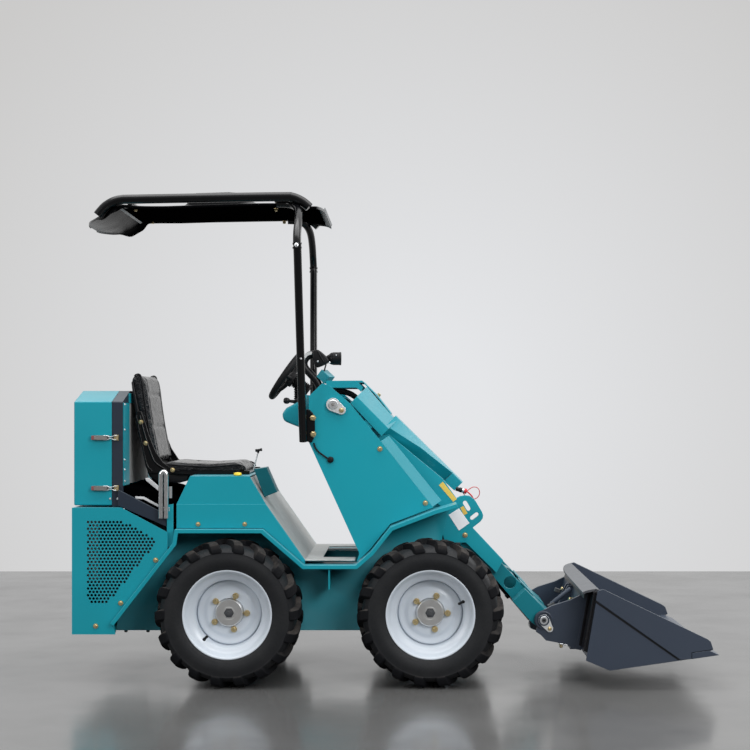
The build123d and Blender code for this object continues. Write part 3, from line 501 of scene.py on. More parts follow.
def place_mesh(name, mesh, finish, body, replaced=(), smooth=None):
    """A finished mesh in metres becomes a piece that rides on a body."""
    if finish is not None:
        mesh.materials.clear()
        mesh.materials.append(FINISHES[finish])
    if smooth is not None:
        mesh.shade_smooth()
        mesh.set_sharp_from_angle(angle=radians(smooth))
        if smooth <= 40:
            mesh = flat_weighted(mesh)
    piece = bpy.data.objects.new(name, mesh)
    bpy.context.scene.collection.objects.link(piece)
    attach(piece, body)
    if replaced:
        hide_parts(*replaced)
    return piece


def evaluated_mesh(piece):
    """The plain mesh that an object's modifiers make. The object is then removed."""
    graph = bpy.context.evaluated_depsgraph_get()
    mesh = bpy.data.meshes.new_from_object(piece.evaluated_get(graph))
    bpy.data.objects.remove(piece)
    return mesh


def bevelled(bm, width, segments=2, angle=28.0):
    """A bmesh in millimetres with its sharp edges rounded, in millimetres."""
    bmesh.ops.recalc_face_normals(bm, faces=bm.faces)
    limit = radians(angle)
    edges = [edge for edge in bm.edges if edge.is_manifold and edge.calc_face_angle(0.0) > limit]
    bmesh.ops.bevel(
        bm, geom=edges, offset=width, offset_type="OFFSET", segments=segments, profile=0.5, affect="EDGES",
        clamp_overlap=True)
    return bm


# the rib under the fender between the wheels ends higher than the CAD node's
gusset_x, gusset_foot, raised_gusset_foot = -252.0, 265.0, 380.0


def dress_node(node, finish, slot, width):
    """A bevelled copy of a CAD node, its triangles merged, stands for the node."""
    bm = bmesh.new()
    bm.from_mesh(frame["nodes"][node].data)
    bmesh.ops.remove_doubles(bm, verts=bm.verts, dist=2e-5)
    bmesh.ops.dissolve_limit(bm, angle_limit=radians(0.6), verts=bm.verts, edges=bm.edges)
    bmesh.ops.scale(bm, vec=(1 / MM,) * 3, verts=bm.verts)
    for vert in bm.verts:
        if node == "fenders" and vert.co.z < gusset_foot and abs(vert.co.x - gusset_x) < 5:
            vert.co.z = raised_gusset_foot
    bevelled(bm, width)
    bmesh.ops.scale(bm, vec=(MM,) * 3, verts=bm.verts)
    mesh = bpy.data.meshes.new(f"{node}_sheet")
    bm.to_mesh(mesh)
    bm.free()
    place_mesh(f"{node}_sheet", mesh, finish, NODE_BODY[node], (node,), smooth=30)


def paint_node(node, finish):
    """A CAD node keeps its mesh and takes a finish."""
    mesh = frame["nodes"][node].data
    mesh.materials.clear()
    mesh.materials.append(FINISHES[finish])


# node, finish, slot, bevel
DRESSED = [
    ("chassis_tub", "teal_paint", "paint", 1.5),
    ("fenders", "teal_paint", "paint", 1.8),
    ("rear_body_shell", "teal_paint", "paint", 1.2),
    ("seat_base", "teal_paint", "paint", 1.4),
    ("floor_plates", "floor_zinc", "floor_paint", 1.0),
    # the control box takes the dark teal: painted shade
    ("control_box", "deep_teal", "paint", 2.5),
    ("tower_plates", "teal_paint", "paint", 2.0),
    ("dash_panel", "teal_paint", "paint", 1.2),
    ("lever_console", "teal_paint", "paint", 12.0),
    ("instrument_box", "teal_paint", "paint", 2.5),
    ("boom_loop", "teal_paint", "paint", 1.4),
    ("coupler", "charcoal_paint", "frame_paint", 2.0),
    ("cutting_edge", "charcoal_paint", "frame_paint", 1.2),
]
for row in DRESSED:
    dress_node(*row)

PAINTED = {
    "engine_block": "cast_iron",
    "hood_hinges": "zinc_plate",
    "frame_hinges": "zinc_plate",
    "wheel_motors": "cast_iron",
    "lift_barrels": "black_gloss",
    "lift_rods": "chrome",
    "tilt_rod": "chrome",
    "lift_pins": "zinc_plate",
}
for node, finish in PAINTED.items():
    paint_node(node, finish)


# ================================================================ shape builders, in millimetres
def plate_xz(bm, outline, y_low, y_high):
    """A flat plate with an X-Z outline, between two Y values."""
    low = [bm.verts.new((x, y_low, z)) for x, z in outline]
    high = [bm.verts.new((x, y_high, z)) for x, z in outline]
    bm.faces.new(low)
    bm.faces.new(high[::-1])
    for index, corner in enumerate(low):
        following = (index + 1) % len(low)
        bm.faces.new((low[following], corner, high[index], high[following]))


def block(bm, place, size):
    """A block of a size, centred at a place matrix or point."""
    matrix = place if isinstance(place, Matrix) else Matrix.Translation(place)
    bmesh.ops.create_cube(bm, size=1.0, matrix=matrix @ Matrix.Diagonal((*size, 1.0)))


def aim_matrix(place, direction):
    """A frame at a place whose Z axis looks along a direction."""
    turn = Vector(direction).to_track_quat("Z", "Y").to_matrix().to_4x4()
    return Matrix.Translation(place) @ turn


def turned_shape(bm, profile, matrix, segments=32):
    """A solid of revolution about a frame's Z axis from (radius, height) rows. A zero radius closes it."""
    rings = []
    for radius, height in profile:
        if radius == 0:
            rings.append([bm.verts.new(matrix @ Vector((0, 0, height)))])
            continue
        angles = [2 * pi * step / segments for step in range(segments)]
        rings.append([bm.verts.new(matrix @ Vector((radius * cos(a), radius * sin(a),
            height))) for a in angles])
    for first, second in zip(rings, rings[1:]):
        for step in range(segments):
            following = (step + 1) % segments
            corners = []
            for vert in (
                first[step % len(first)], first[following % len(first)],
                second[following % len(second)], second[step % len(second)],
            ):
                if vert not in corners:
                    corners.append(vert)
            if len(corners) > 2:
                bm.faces.new(corners)


def closed_lathe(bm, profile, matrix, segments=64):
    """A ring-shaped solid of revolution from a closed (radius, height) profile."""
    turned_shape(bm, [*profile, profile[0]], matrix, segments)


def smooth_line(points, per_span=8):
    """Points along a Catmull-Rom curve through the given points."""
    line = [Vector(p) for p in points]
    padded = [2 * line[0] - line[1], *line, 2 * line[-1] - line[-2]]
    found = []
    for a, b, c, d in zip(padded, padded[1:], padded[2:], padded[3:]):
        for step in range(per_span):
            t = step / per_span
            found.append(0.5 * (
                2 * b + (c - a) * t + (2 * a - 5 * b + 4 * c - d) * t * t + (3 * b - a - 3 * c + d) * t ** 3))
    return [*found, line[-1]]


def round_tube(bm, points, radius, segments=16, radii=None):
    """A tube of round section along points, with the section carried smoothly from point to point."""
    line = [Vector(p) for p in points]
    tangents = [(after - before).normalized() for before, after in zip([line[0], *line],
        [*line[1:], line[-1]])]
    side = tangents[0].orthogonal().normalized()
    rings = []
    for index, (point, along) in enumerate(zip(line, tangents)):
        side = (side - along * side.dot(along)).normalized()
        across = along.cross(side)
        size = radii[index] if radii else radius
        angles = [2 * pi * k / segments for k in range(segments)]
        rings.append([bm.verts.new(point + size * (cos(a) * side + sin(a) * across)) for a in angles])
    for first, second in zip(rings, rings[1:]):
        for k in range(segments):
            following = (k + 1) % segments
            bm.faces.new((first[k], first[following], second[following], second[k]))
    bm.faces.new(rings[0][::-1])
    bm.faces.new(rings[-1])


def cord_piece(name, points, radius, finish, body, replaced=()):
    """A free cord, hose or wire as one smooth curve along its route."""
    curve = bpy.data.curves.new(name, "CURVE")
    curve.dimensions = "3D"
    curve.bevel_depth = radius * MM
    curve.bevel_resolution = 4
    curve.resolution_u = 8
    curve.use_fill_caps = True
    spline = curve.splines.new("NURBS")
    spline.points.add(len(points) - 1)
    for knot, (x, y, z) in zip(spline.points, points):
        knot.co = (x * MM, y * MM, z * MM, 1.0)
    spline.order_u = 3
    spline.use_endpoint_u = True
    curve.materials.append(FINISHES[finish])
    piece = bpy.data.objects.new(name, curve)
    bpy.context.scene.collection.objects.link(piece)
    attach(piece, body)
    if replaced:
        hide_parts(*replaced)


def mirrored_copy(bm):
    """Adds a mirror image across the machine's middle plane."""
    copied = bmesh.ops.duplicate(bm, geom=bm.verts[:] + bm.edges[:] + bm.faces[:])["geom"]
    verts = [item for item in copied if isinstance(item, bmesh.types.BMVert)]
    faces = [item for item in copied if isinstance(item, bmesh.types.BMFace)]
    bmesh.ops.scale(bm, vec=(1, -1, 1), verts=verts)
    bmesh.ops.reverse_faces(bm, faces=faces)


def shape_piece(name, shapes, finish, body, replaced=(), smooth=35, edge=(), mirrored=False):
    """Rows of (builder, its values) make one piece. Its edges are rounded by bevelled's values, if any."""
    bm = bmesh.new()
    for build, *values in shapes:
        build(bm, *values)
    if edge:
        bevelled(bm, *edge)
    if mirrored:
        mirrored_copy(bm)
    make_piece(name, bm, finish, body, replaced, smooth)


# ================================================================ node trees for what repeats
def start_tree(name, inputs):
    """A geometry tree with named inputs: (name, socket kind, default). Gives the tree and its inputs."""
    tree = bpy.data.node_groups.new(name, "GeometryNodeTree")
    tree.interface.new_socket("Geometry", in_out="INPUT", socket_type="NodeSocketGeometry")
    for label, kind, default in [*inputs, ("Finish", "NodeSocketMaterial", None)]:
        socket = tree.interface.new_socket(label, in_out="INPUT", socket_type=kind)
        if default is not None:
            socket.default_value = default
    tree.interface.new_socket("Geometry", in_out="OUTPUT", socket_type="NodeSocketGeometry")
    return tree, tree.nodes.new("NodeGroupInput").outputs


def close_tree(tree, finish, instances):
    """Ends a tree: instances realized, then given the finish."""
    real = add_node(tree, "GeometryNodeRealizeInstances", {0: instances}).outputs[0]
    coated = add_node(tree, "GeometryNodeSetMaterial", {"Geometry": real, "Material": finish})
    add_node(tree, "NodeGroupOutput", {0: coated.outputs[0]})
    return tree


def lifted(tree, geometry, height):
    """Geometry moved along Z by a height socket."""
    offset = add_node(tree, "ShaderNodeCombineXYZ", {"Z": height}).outputs[0]
    return add_node(tree, "GeometryNodeTransform", {"Geometry": geometry, "Translation": offset}).outputs[0]


def copies_at(tree, points, instance, inputs=None):
    """A geometry copied to every point."""
    inputs = {"Points": points, "Instance": instance, **(inputs or {})}
    return add_node(tree, "GeometryNodeInstanceOnPoints", inputs).outputs[0]


def fastener_tree():
    """Hexagon heads on washers at every point, each facing its point's direction, turned at random."""
    tree, size = start_tree("fasteners", [
        ("Head Radius", "NodeSocketFloat", 0.01),
        ("Head Height", "NodeSocketFloat", 0.006),
        ("Washer Radius", "NodeSocketFloat", 0.012),
        ("Washer Thickness", "NodeSocketFloat", 0.002),
        ("Seed", "NodeSocketInt", 3),
    ])
    radius, height, thickness = size["Head Radius"], size["Head Height"], size["Washer Thickness"]
    head = add_node(tree, "GeometryNodeMeshCylinder", {"Vertices": 6, "Radius": radius, "Depth": height})
    crown = add_node(tree, "GeometryNodeMeshCone", {
        "Vertices": 12,
        "Radius Bottom": maths(tree, "MULTIPLY", radius, 0.86),
        "Radius Top": maths(tree, "MULTIPLY", radius, 0.66),
        "Depth": maths(tree, "MULTIPLY", height, 0.22),
    })
    washer = add_node(tree, "GeometryNodeMeshCylinder", {
        "Vertices": 20, "Radius": size["Washer Radius"], "Depth": thickness})
    join = add_node(tree, "GeometryNodeJoinGeometry", {0: [
        lifted(tree, head.outputs["Mesh"], maths(tree, "MULTIPLY_ADD", height, 0.5, thickness)),
        lifted(tree, crown.outputs["Mesh"], maths(tree, "ADD", height, thickness)),
        lifted(tree, washer.outputs["Mesh"], maths(tree, "MULTIPLY", thickness, 0.5)),
    ]})
    facing = add_node(tree, "GeometryNodeInputNamedAttribute", {"Name": "facing"}, data_type="FLOAT_VECTOR")
    aim = add_node(tree, "FunctionNodeAlignRotationToVector", {"Vector": facing.outputs["Attribute"]})
    bolts = copies_at(tree, size["Geometry"], join.outputs[0], {"Rotation": aim.outputs[0]})
    spin = add_node(tree, "FunctionNodeRandomValue", {"Seed": size["Seed"]})
    turn = add_node(tree, "ShaderNodeCombineXYZ", {"Z": spin.outputs[1]})
    turned = add_node(tree, "GeometryNodeRotateInstances", {"Instances": bolts, "Rotation": turn.outputs[0]})
    return close_tree(tree, size["Finish"], turned.outputs[0])


def ring_tree():
    """Copies of the incoming mesh spaced evenly round the Y axis."""
    tree, size = start_tree("ring_of_copies", [("Count", "NodeSocketInt", 18)])
    points = add_node(tree, "GeometryNodePoints", {"Count": size["Count"]}).outputs[0]
    index = add_node(tree, "GeometryNodeInputIndex").outputs[0]
    step = maths(tree, "DIVIDE", 2 * pi, size["Count"])
    turn = add_node(tree, "ShaderNodeCombineXYZ", {"Y": maths(tree, "MULTIPLY", index, step)})
    ring = copies_at(tree, points, size["Geometry"], {"Rotation": turn.outputs[0]})
    return close_tree(tree, size["Finish"], ring)


def perforated_tree():
    """A flat X-Y outline as a sheet, with staggered round holes well inside the loop marked as its field."""
    tree, size = start_tree("perforated_sheet", [
        ("Pitch", "NodeSocketFloat", 0.0155),
        ("Row Pitch", "NodeSocketFloat", 0.013),
        ("Hole Radius", "NodeSocketFloat", 0.004),
        ("Margin", "NodeSocketFloat", 0.01),
        ("Columns", "NodeSocketInt", 24),
        ("Rows", "NodeSocketInt", 30),
        ("Thickness", "NodeSocketFloat", 0.002),
    ])
    pitch, row_pitch = size["Pitch"], size["Row Pitch"]
    marks = add_node(tree, "GeometryNodeInputNamedAttribute", {"Name": "field"}, data_type="FLOAT")
    field, border = add_node(tree, "GeometryNodeSeparateGeometry", {
        "Geometry": size["Geometry"],
        "Selection": maths(tree, "GREATER_THAN", marks.outputs["Attribute"], 0.5),
    }).outputs
    outline = add_node(tree, "GeometryNodeMeshToCurve", {"Mesh": border}).outputs[0]
    field_outline = add_node(tree, "GeometryNodeMeshToCurve", {"Mesh": field}).outputs[0]
    whole = add_node(tree, "GeometryNodeFillCurve", {"Curve": field_outline}).outputs[0]
    grid = add_node(tree, "GeometryNodeMeshGrid", {
        "Size X": maths(tree, "MULTIPLY", pitch, size["Columns"]),
        "Size Y": maths(tree, "MULTIPLY", row_pitch, size["Rows"]),
        "Vertices X": maths(tree, "ADD", size["Columns"], 1),
        "Vertices Y": maths(tree, "ADD", size["Rows"], 1),
    })
    place = add_node(tree, "GeometryNodeInputPosition").outputs[0]
    row = maths(tree, "ROUND", maths(tree, "DIVIDE", parts_of(tree, place)["Y"], row_pitch), 0)
    odd = maths(tree, "PINGPONG", row, 1)
    stagger = add_node(tree, "ShaderNodeCombineXYZ", {
        "X": maths(tree, "MULTIPLY", odd, maths(tree, "MULTIPLY", pitch, 0.5))})
    staggered = add_node(tree, "GeometryNodeSetPosition", {
        "Geometry": grid.outputs["Mesh"], "Offset": stagger.outputs[0]})
    above = add_node(tree, "ShaderNodeVectorMath", {0: place, 1: (0, 0, 1)}).outputs[0]
    inside = add_node(tree, "GeometryNodeRaycast", {"Target Geometry": whole, "Source Position": above})
    edge = add_node(tree, "GeometryNodeProximity", {0: field}, target_element="EDGES")
    close = maths(tree, "LESS_THAN", edge.outputs["Distance"], size["Margin"])
    missed = maths(tree, "SUBTRACT", 1, inside.outputs["Is Hit"])
    centres = add_node(tree, "GeometryNodeDeleteGeometry", {
        0: staggered.outputs[0], "Selection": maths(tree, "MAXIMUM", close, missed)}).outputs[0]
    hole = add_node(tree, "GeometryNodeCurvePrimitiveCircle",
        {"Resolution": 12, "Radius": size["Hole Radius"]})
    holes = copies_at(tree, centres, hole.outputs[0])
    curves = add_node(tree, "GeometryNodeJoinGeometry", {0: [holes, outline]}).outputs[0]
    real = add_node(tree, "GeometryNodeRealizeInstances", {0: curves}).outputs[0]
    filled = add_node(tree, "GeometryNodeFillCurve", {"Curve": real}).outputs[0]
    thick = add_node(tree, "GeometryNodeExtrudeMesh", {
        "Mesh": filled, "Offset Scale": size["Thickness"], "Individual": False})
    back = add_node(tree, "GeometryNodeFlipFaces", {0: filled}).outputs[0]
    sheet = add_node(tree, "GeometryNodeJoinGeometry", {0: [thick.outputs["Mesh"], back]})
    return close_tree(tree, size["Finish"], sheet.outputs[0])


FASTENERS = fastener_tree()
RING_OF_COPIES = ring_tree()
PERFORATED = perforated_tree()


def mesh_of(bm):
    """A bmesh in millimetres as a mesh in metres."""
    bmesh.ops.scale(bm, vec=(MM,) * 3, verts=bm.verts)
    mesh = bpy.data.meshes.new("base")
    bm.to_mesh(mesh)
    bm.free()
    return mesh


def closed_mesh(bm):
    """A closed bmesh in millimetres, welded and turned outwards, as a mesh in metres."""
    bmesh.ops.remove_doubles(bm, verts=bm.verts, dist=1e-3)
    bmesh.ops.recalc_face_normals(bm, faces=bm.faces)
    return mesh_of(bm)


def grown_mesh(tree, base, finish, sizes):
    """The plain mesh that a tree makes from a base mesh, with its named inputs set."""
    carrier = bpy.data.objects.new("carrier", base)
    bpy.context.scene.collection.objects.link(carrier)
    modifier = carrier.modifiers.new("grow", "NODES")
    modifier.node_group = tree
    values = {**sizes, "Finish": FINISHES[finish]}
    for item in tree.interface.items_tree:
        if item.item_type == "SOCKET" and item.in_out == "INPUT" and item.name in values:
            modifier[item.identifier] = values[item.name]
    return evaluated_mesh(carrier)


def bolts_mesh(places, finish, head, height, washer, thickness, seed):
    """Bolts at places of x, y, z and a facing, all in millimetres, as a mesh in metres."""
    mesh = bpy.data.meshes.new("bolts")
    mesh.from_pydata([(x * MM, y * MM, z * MM) for x, y, z, _ in places], [], [])
    facings = mesh.attributes.new("facing", "FLOAT_VECTOR", "POINT")
    facings.data.foreach_set("vector", [part for *_, facing in places for part in facing])
    return grown_mesh(FASTENERS, mesh, finish, {
        "Head Radius": head * MM,
        "Head Height": height * MM,
        "Washer Radius": washer * MM,
        "Washer Thickness": thickness * MM,
        "Seed": seed,
    })


def fasten(name, rows, body, finish="zinc_yellow", head=9.0, height=6.0, washer=11.5, both_sides=True):
    """Bolts at (x, y, z) rows that face away from the middle plane, or along a given direction."""
    places = []
    for x, y, z, *given in rows:
        facing = given[0] if given else (0, math.copysign(1, y), 0)
        places.append((x, y, z, facing))
        if both_sides:
            places.append((x, -y, z, (facing[0], -facing[1], facing[2])))
    mesh = bolts_mesh(places, finish, head, height, washer, 2.0, 3)
    place_mesh(name, mesh, None, body, smooth=25)


# ================================================================ wheels
# outer half of the tyre: distance from its middle plane, radius
TYRE_PROFILE = [
    (0, 271), (34, 271), (62, 269), (80, 265), (93, 258), (101, 249), (104.5, 246.5), (104.5, 243.5),
    (104, 240), (107, 226), (107.5, 212), (105, 198), (101.5, 192), (101.5, 188.5), (99.5, 186),
    (97.5, 181.5), (95.5, 178.5), (92, 176.5), (84, 170), (78, 162),
]
# rim, clockwise from its outer lip: radius, distance from the middle plane
RIM_PROFILE = [
    (176.5, -94.5), (174, -95.5), (171, -94.5), (167, -89), (163.5, -82), (160.5, -74), (156, -66.5),
    (148, -60.5), (140, -56.5), (134.5, -51), (131.5, -43), (130.5, -20), (130.5, 56), (136, 63), (152, 68),
    (158, 76), (163, 84), (171, 94), (176, 95), (176, 91), (166.5, 82), (161, 72), (155, 63), (138, 57),
    (134.5, 50), (134.5, -38), (137, -48), (143, -53), (152, -57), (159, -62), (164, -70), (167, -80),
    (172, -90), (175.5, -92),
]
DISC_PROFILE = [
    (131, -2), (129.5, -1), (127.5, -2), (126.3, -9), (123, -10.5), (118, -8.5), (108, -6), (104, -5.5),
    (98, -6.5), (92, -10), (84, -11.5), (58, -11.5),
    (58, 3), (92, 3), (104, 8), (120, 8), (131, 5),
]
HUB_PROFILE = [
    (0, -30.5), (22, -30.5), (24, -29.5), (26, -29.5), (28, -30.5), (51, -30.5), (53.5, -28.5), (53.5, -16),
    (57, -12), (58, -6), (36, -6), (36, -26.5), (0, -26.5),
]
# tread lug stations from the middle to the side: place across, outer radius, place across and radius of its
# foot, angle, half width outside and at its foot
LUG_STATIONS = [
    (3, 289, 0, 266, 0.0, 12, 18),
    (28, 292, 28, 266, 2.6, 14, 20),
    (56, 291.5, 56, 264, 6.0, 15.5, 22),
    (80, 288, 78, 260, 8.4, 17, 25),
    (98, 279, 92, 252, 9.6, 18, 27),
    (106.5, 263, 99, 246, 10.2, 18, 26),
    (107.5, 249, 103, 242, 10.5, 15, 22),
]
HUB_NUT_PROFILE = [(0, -44), (12, -44), (16, -41), (16, -33), (20, -33), (20, -30.5), (0, -30.5)]
STUD_PROFILE = [(0, -49), (7, -49), (9, -47), (9, -40), (0, -40)]
VALVE_PROFILE = [(0, -6), (8, -6), (8, 2), (5.5, 7), (4.5, 18), (5.5, 19), (5.5, 29), (4, 31), (0, 31)]
lug_count = 18
nut_count, nut_circle, first_nut_angle = 5, 70.0, -0.05
valve_circle = 141.0


def tyre_mesh():
    """The tyre's casing about the Y axis at the origin."""
    half = [(radius, -across) for across, radius in TYRE_PROFILE]
    whole = half[::-1] + [(radius, -height) for radius, height in half[1:]]
    bm = bmesh.new()
    turned_shape(bm, whole, Matrix.Rotation(-pi / 2, 4, "X"), 128)
    return bm


def lug(bm, side, shift):
    """One tread lug on one side of the tyre, turned by a shift in degrees."""
    rings = []
    for across, radius, foot_across, foot_radius, angle, half_width, foot_half in LUG_STATIONS:
        ring = []
        for place, reach, half in (
            (foot_across, foot_radius, -foot_half), (across, radius, -half_width),
            (across, radius, half_width), (foot_across, foot_radius, foot_half),
        ):
            turn = radians(angle + shift) + half / reach
            ring.append(bm.verts.new((reach * sin(turn), side * place, reach * cos(turn))))
        rings.append(ring)
    for first, second in zip(rings, rings[1:]):
        for k in range(3):
            bm.faces.new((first[k], first[k + 1], second[k + 1], second[k]))
    bm.faces.new(rings[0])
    bm.faces.new(rings[-1][::-1])


def tread_mesh():
    """All the lugs of a tyre, the two sides half a pitch apart."""
    bm = bmesh.new()
    lug(bm, -1, 0.0)
    lug(bm, 1, 180.0 / lug_count)
    bmesh.ops.recalc_face_normals(bm, faces=bm.faces)
    sharp = [edge for edge in bm.edges if edge.is_manifold and edge.calc_face_angle(0.0) > radians(30)]
    bmesh.ops.bevel(bm, geom=sharp, offset=2.2, segments=2, profile=0.5, affect="EDGES", clamp_overlap=True)
    return grown_mesh(RING_OF_COPIES, mesh_of(bm), "tread_rubber", {"Count": lug_count})


def make_wheel(corner, side, valve_angle):
    """The pieces of one wheel, all on its own body. The valve's angle is in degrees."""
    low, high = box_mm(f"tyre_{corner}")
    place = Matrix.Translation((low + high) / 2 * MM)
    if side > 0:
        place = place @ Matrix.Rotation(pi, 4, "Z")
    axis = Matrix.Rotation(-pi / 2, 4, "X")

    def add(label, mesh, finish, smooth, replaced=()):
        mesh.transform(place)
        place_mesh(f"{label}_{corner}", mesh, finish, f"wheel_{corner}", replaced, smooth)

    def turned(*profiles):
        bm = bmesh.new()
        for profile, matrix, segments in profiles:
            turned_shape(bm, profile, matrix, segments)
        return closed_mesh(bm)

    add("casing", mesh_of(tyre_mesh()), "tyre_rubber", 40, (f"tyre_{corner}",))
    add("tread", tread_mesh(), None, 35)
    rim = turned(([*RIM_PROFILE, RIM_PROFILE[0]], axis, 96), ([*DISC_PROFILE, DISC_PROFILE[0]], axis, 96))
    add("wheel_rim", rim, "rim_paint", 50, (f"rim_{corner}",))
    add("hub", turned((HUB_PROFILE, axis, 64)), "turned_steel", 30)
    add("hub_nut", turned((HUB_NUT_PROFILE, axis, 6), (STUD_PROFILE, axis, 20)), "cast_iron", 25)
    out_x, out_z = cos(radians(valve_angle)), sin(radians(valve_angle))
    stem = aim_matrix((valve_circle * out_x, -52.0, valve_circle * out_z), (-out_x, -0.9, -out_z))
    add("valve", turned((VALVE_PROFILE, stem, 14)), "black_rubber", 35)
    angles = [first_nut_angle + 2 * pi * step / nut_count for step in range(nut_count)]
    nuts = [(nut_circle * cos(a), -12.0, nut_circle * sin(a), (0, -1, 0)) for a in angles]
    add("wheel_nuts", bolts_mesh(nuts, "zinc_yellow", 11.0, 11.0, 12.5, 3.0, 5), None, 25)


# corner, side, where the valve is
for row in [
    ("rear_right", -1, 227),
    ("rear_left", 1, 120),
    ("front_right", -1, 20),
    ("front_left", 1, 300),
]:
    make_wheel(*row)


# ================================================================ rear engine housing
def folded_section(inset, low):
    """Y-Z corners of the housing's section, its walls moved in by an inset."""
    half, flat = 360 - inset, 195 - 0.4 * inset
    shoulder, top = 1132 - 0.8 * inset, 1177 - inset
    return [(-half, low), (-half, shoulder), (-flat, top), (flat, top), (half, shoulder), (half, low)]


def folded_housing(x_rear, x_front, wall, low, floor, closed):
    """A stretch of the sheet metal housing with crisp folds, open at the front and maybe shut at the rear."""
    bm = bmesh.new()

    def ring(x, inset, bottom):
        return [bm.verts.new((x, y, z)) for y, z in folded_section(inset, bottom)]

    outer_front, outer_rear = ring(x_front, 0, low), ring(x_rear, 0, low)
    inner_front = ring(x_front, wall, low + floor)
    inner_rear = ring(x_rear + (wall if closed else 0), wall, low + floor)
    loops = [(outer_rear, outer_front), (outer_front, inner_front), (inner_front, inner_rear)]
    if closed:
        bm.faces.new(outer_rear)
        bm.faces.new(inner_rear[::-1])
    else:
        loops.append((inner_rear, outer_rear))
    for first, second in loops:
        for k in range(6):
            following = (k + 1) % 6
            bm.faces.new((first[k], second[k], second[following], first[following]))
    bmesh.ops.recalc_face_normals(bm, faces=bm.faces)
    folds = [
        edge for edge in bm.edges
        if abs((edge.verts[0].co - edge.verts[1].co).normalized().x) > 0.9
        or all(abs(vert.co.x - x_rear) < 0.1 for vert in edge.verts) and closed
    ]
    bmesh.ops.bevel(bm, geom=folds, offset=5.5, segments=3, profile=0.5, affect="EDGES", clamp_overlap=True)
    return bevelled(bm, 1.0, 2, 40.0)


hood_rear_x, hood_front_x, frame_front_x = -1281.5, -1129.0, -1085.0
make_piece("hood_sheet", folded_housing(hood_rear_x, hood_front_x, 3.0, 714, 3, True), "teal_paint",
           "engine_hood", ("engine_hood",), smooth=35)
make_piece("frame_sheet", folded_housing(hood_front_x + 1.5, frame_front_x, 40.0, 707, 0, False),
           "frame_paint", "chassis", ("housing_frame",), smooth=35)
shape_piece("frame_arms", [
    (plate_xz, [(-1100, 714), (-1100, 778), (-938, 694), (-905, 677), (-905, 630)], -380, -361),
], "frame_paint", "chassis", edge=(1.6,), mirrored=True)
shape_piece("firewall_sheet", [
    (block, (-1083, -291, 960), (4, 126, 334)),
    (block, (-1083, 291, 960), (4, 126, 334)),
    (block, (-1083, 0, 1147), (4, 456, 40)),
], "teal_paint", "chassis", ("firewall",), edge=(0.8,))
shape_piece("firewall_liner", [(block, (-1084.5, 0, 961), (3, 458, 330))],
            "liner_grey", "chassis", edge=(0.6,))
# the engine cover under the seat is near black: painted shade
shape_piece("engine_cover", [
    (plate_xz, [(-1082, 793), (-945, 768), (-869, 740), (-869, 645), (-1082, 645)], -342, 342),
], "black_foam", "chassis", smooth=40, edge=(5.0, 3))
shape_piece("foam_strips", [
    (plate_xz, [(-1036, 750), (-1000, 748), (-942, 716), (-942, 706), (-1002, 738), (-1034, 741)],
     -356, -348),
    (plate_xz, [(-1000, 822), (-985, 824), (-930, 776), (-930, 757), (-996, 812)], -330, -322),
], "white_foam", "chassis", smooth=40, edge=(1.5,))

# ---------------------------------------------------------------- latches
latch_heights = (783.5, 986.5)
latch_levers, latch_bails, latch_grips, latch_hooks = [], [], [], []
for z in latch_heights:
    latch_levers += [
        (block, (-1170, -361.2, z), (64, 2.4, 19)),
        (block, (-1167, -369.5, z + 7.2), (42, 13, 1.8)),
        (block, (-1167, -369.5, z - 7.2), (42, 13, 1.8)),
        (block, (-1172, -375, z), (52, 1.8, 15)),
    ]
    for x in (-1184, -1163, -1150):
        pivot = [(0, -9.8), (2.7, -9.8), (2.7, 9.8), (0, 9.8)]
        latch_levers.append((turned_shape, pivot, Matrix.Translation((x, -369, z)), 12))
    for side in BOTH_SIDES:
        bail = [(x, -371, z + side * spread) for x, spread in (
            (-1160, 8.6), (-1147, 8.2), (-1136, 3.6), (-1127, 4.4), (-1117, 8.2), (-1106, 8.6))]
        latch_bails.append((round_tube, smooth_line(bail, 6), 1.7, 10))
    latch_bails.append((round_tube, [(-1106, -371, z - 9.2), (-1106, -371, z + 9.2)], 1.9, 10))
    latch_grips.append((block, (-1203, -370.5, z), (12, 11, 17)))
    latch_hooks += [
        (block, (-1110.5, -361.2, z), (19, 2.4, 23)),
        (block, (-1101.5, -367, z), (2.6, 12, 18)),
        (block, (-1104.5, -373, z), (8, 2.2, 18)),
    ]
# latch part: shapes, finish, body, rounding, the nodes it stands for
for name, shapes, finish, body, edge, nodes in [
    ("latch_levers", latch_levers, "bare_steel", "engine_hood", (0.5,), ("hood_latches",)),
    ("latch_bails", latch_bails, "zinc_plate", "engine_hood", (), ()),
    ("latch_grips", latch_grips, "grip_red", "engine_hood", (2.0,), ()),
    ("latch_hooks", latch_hooks, "zinc_yellow", "chassis", (0.5,), ("latch_keepers",)),
]:
    shape_piece(name, shapes, finish, body, nodes, edge=edge)
fasten("latch_screws", [
    (x, -362, z + dz) for z in latch_heights for x, dz in ((-1196, 0), (-1112, 7), (-1112, -7))
], "engine_hood", "zinc_plate", head=2.6, height=1.6, washer=3.2, both_sides=False)

# ---------------------------------------------------------------- rear body sides
side_panel_outline = [
    (-1281.5, 200), (-1281.5, 707), (-1083, 707), (-899, 609), (-899, 536.5), (-1125, 246), (-1107, 200)]
perforated_field = [(-1228, 662), (-1084, 662), (-943, 585), (-951, 552), (-1135, 320), (-1222, 320)]
field_x, field_z, panel_y = -1100.0, 490.0, 398.0
PERFORATION = {
    "Pitch": 14.6 * MM,
    "Row Pitch": 13.3 * MM,
    "Hole Radius": 5.6 * MM,
    "Margin": 5.5 * MM,
    "Columns": 24,
    "Rows": 32,
    "Thickness": -3.0 * MM,
}


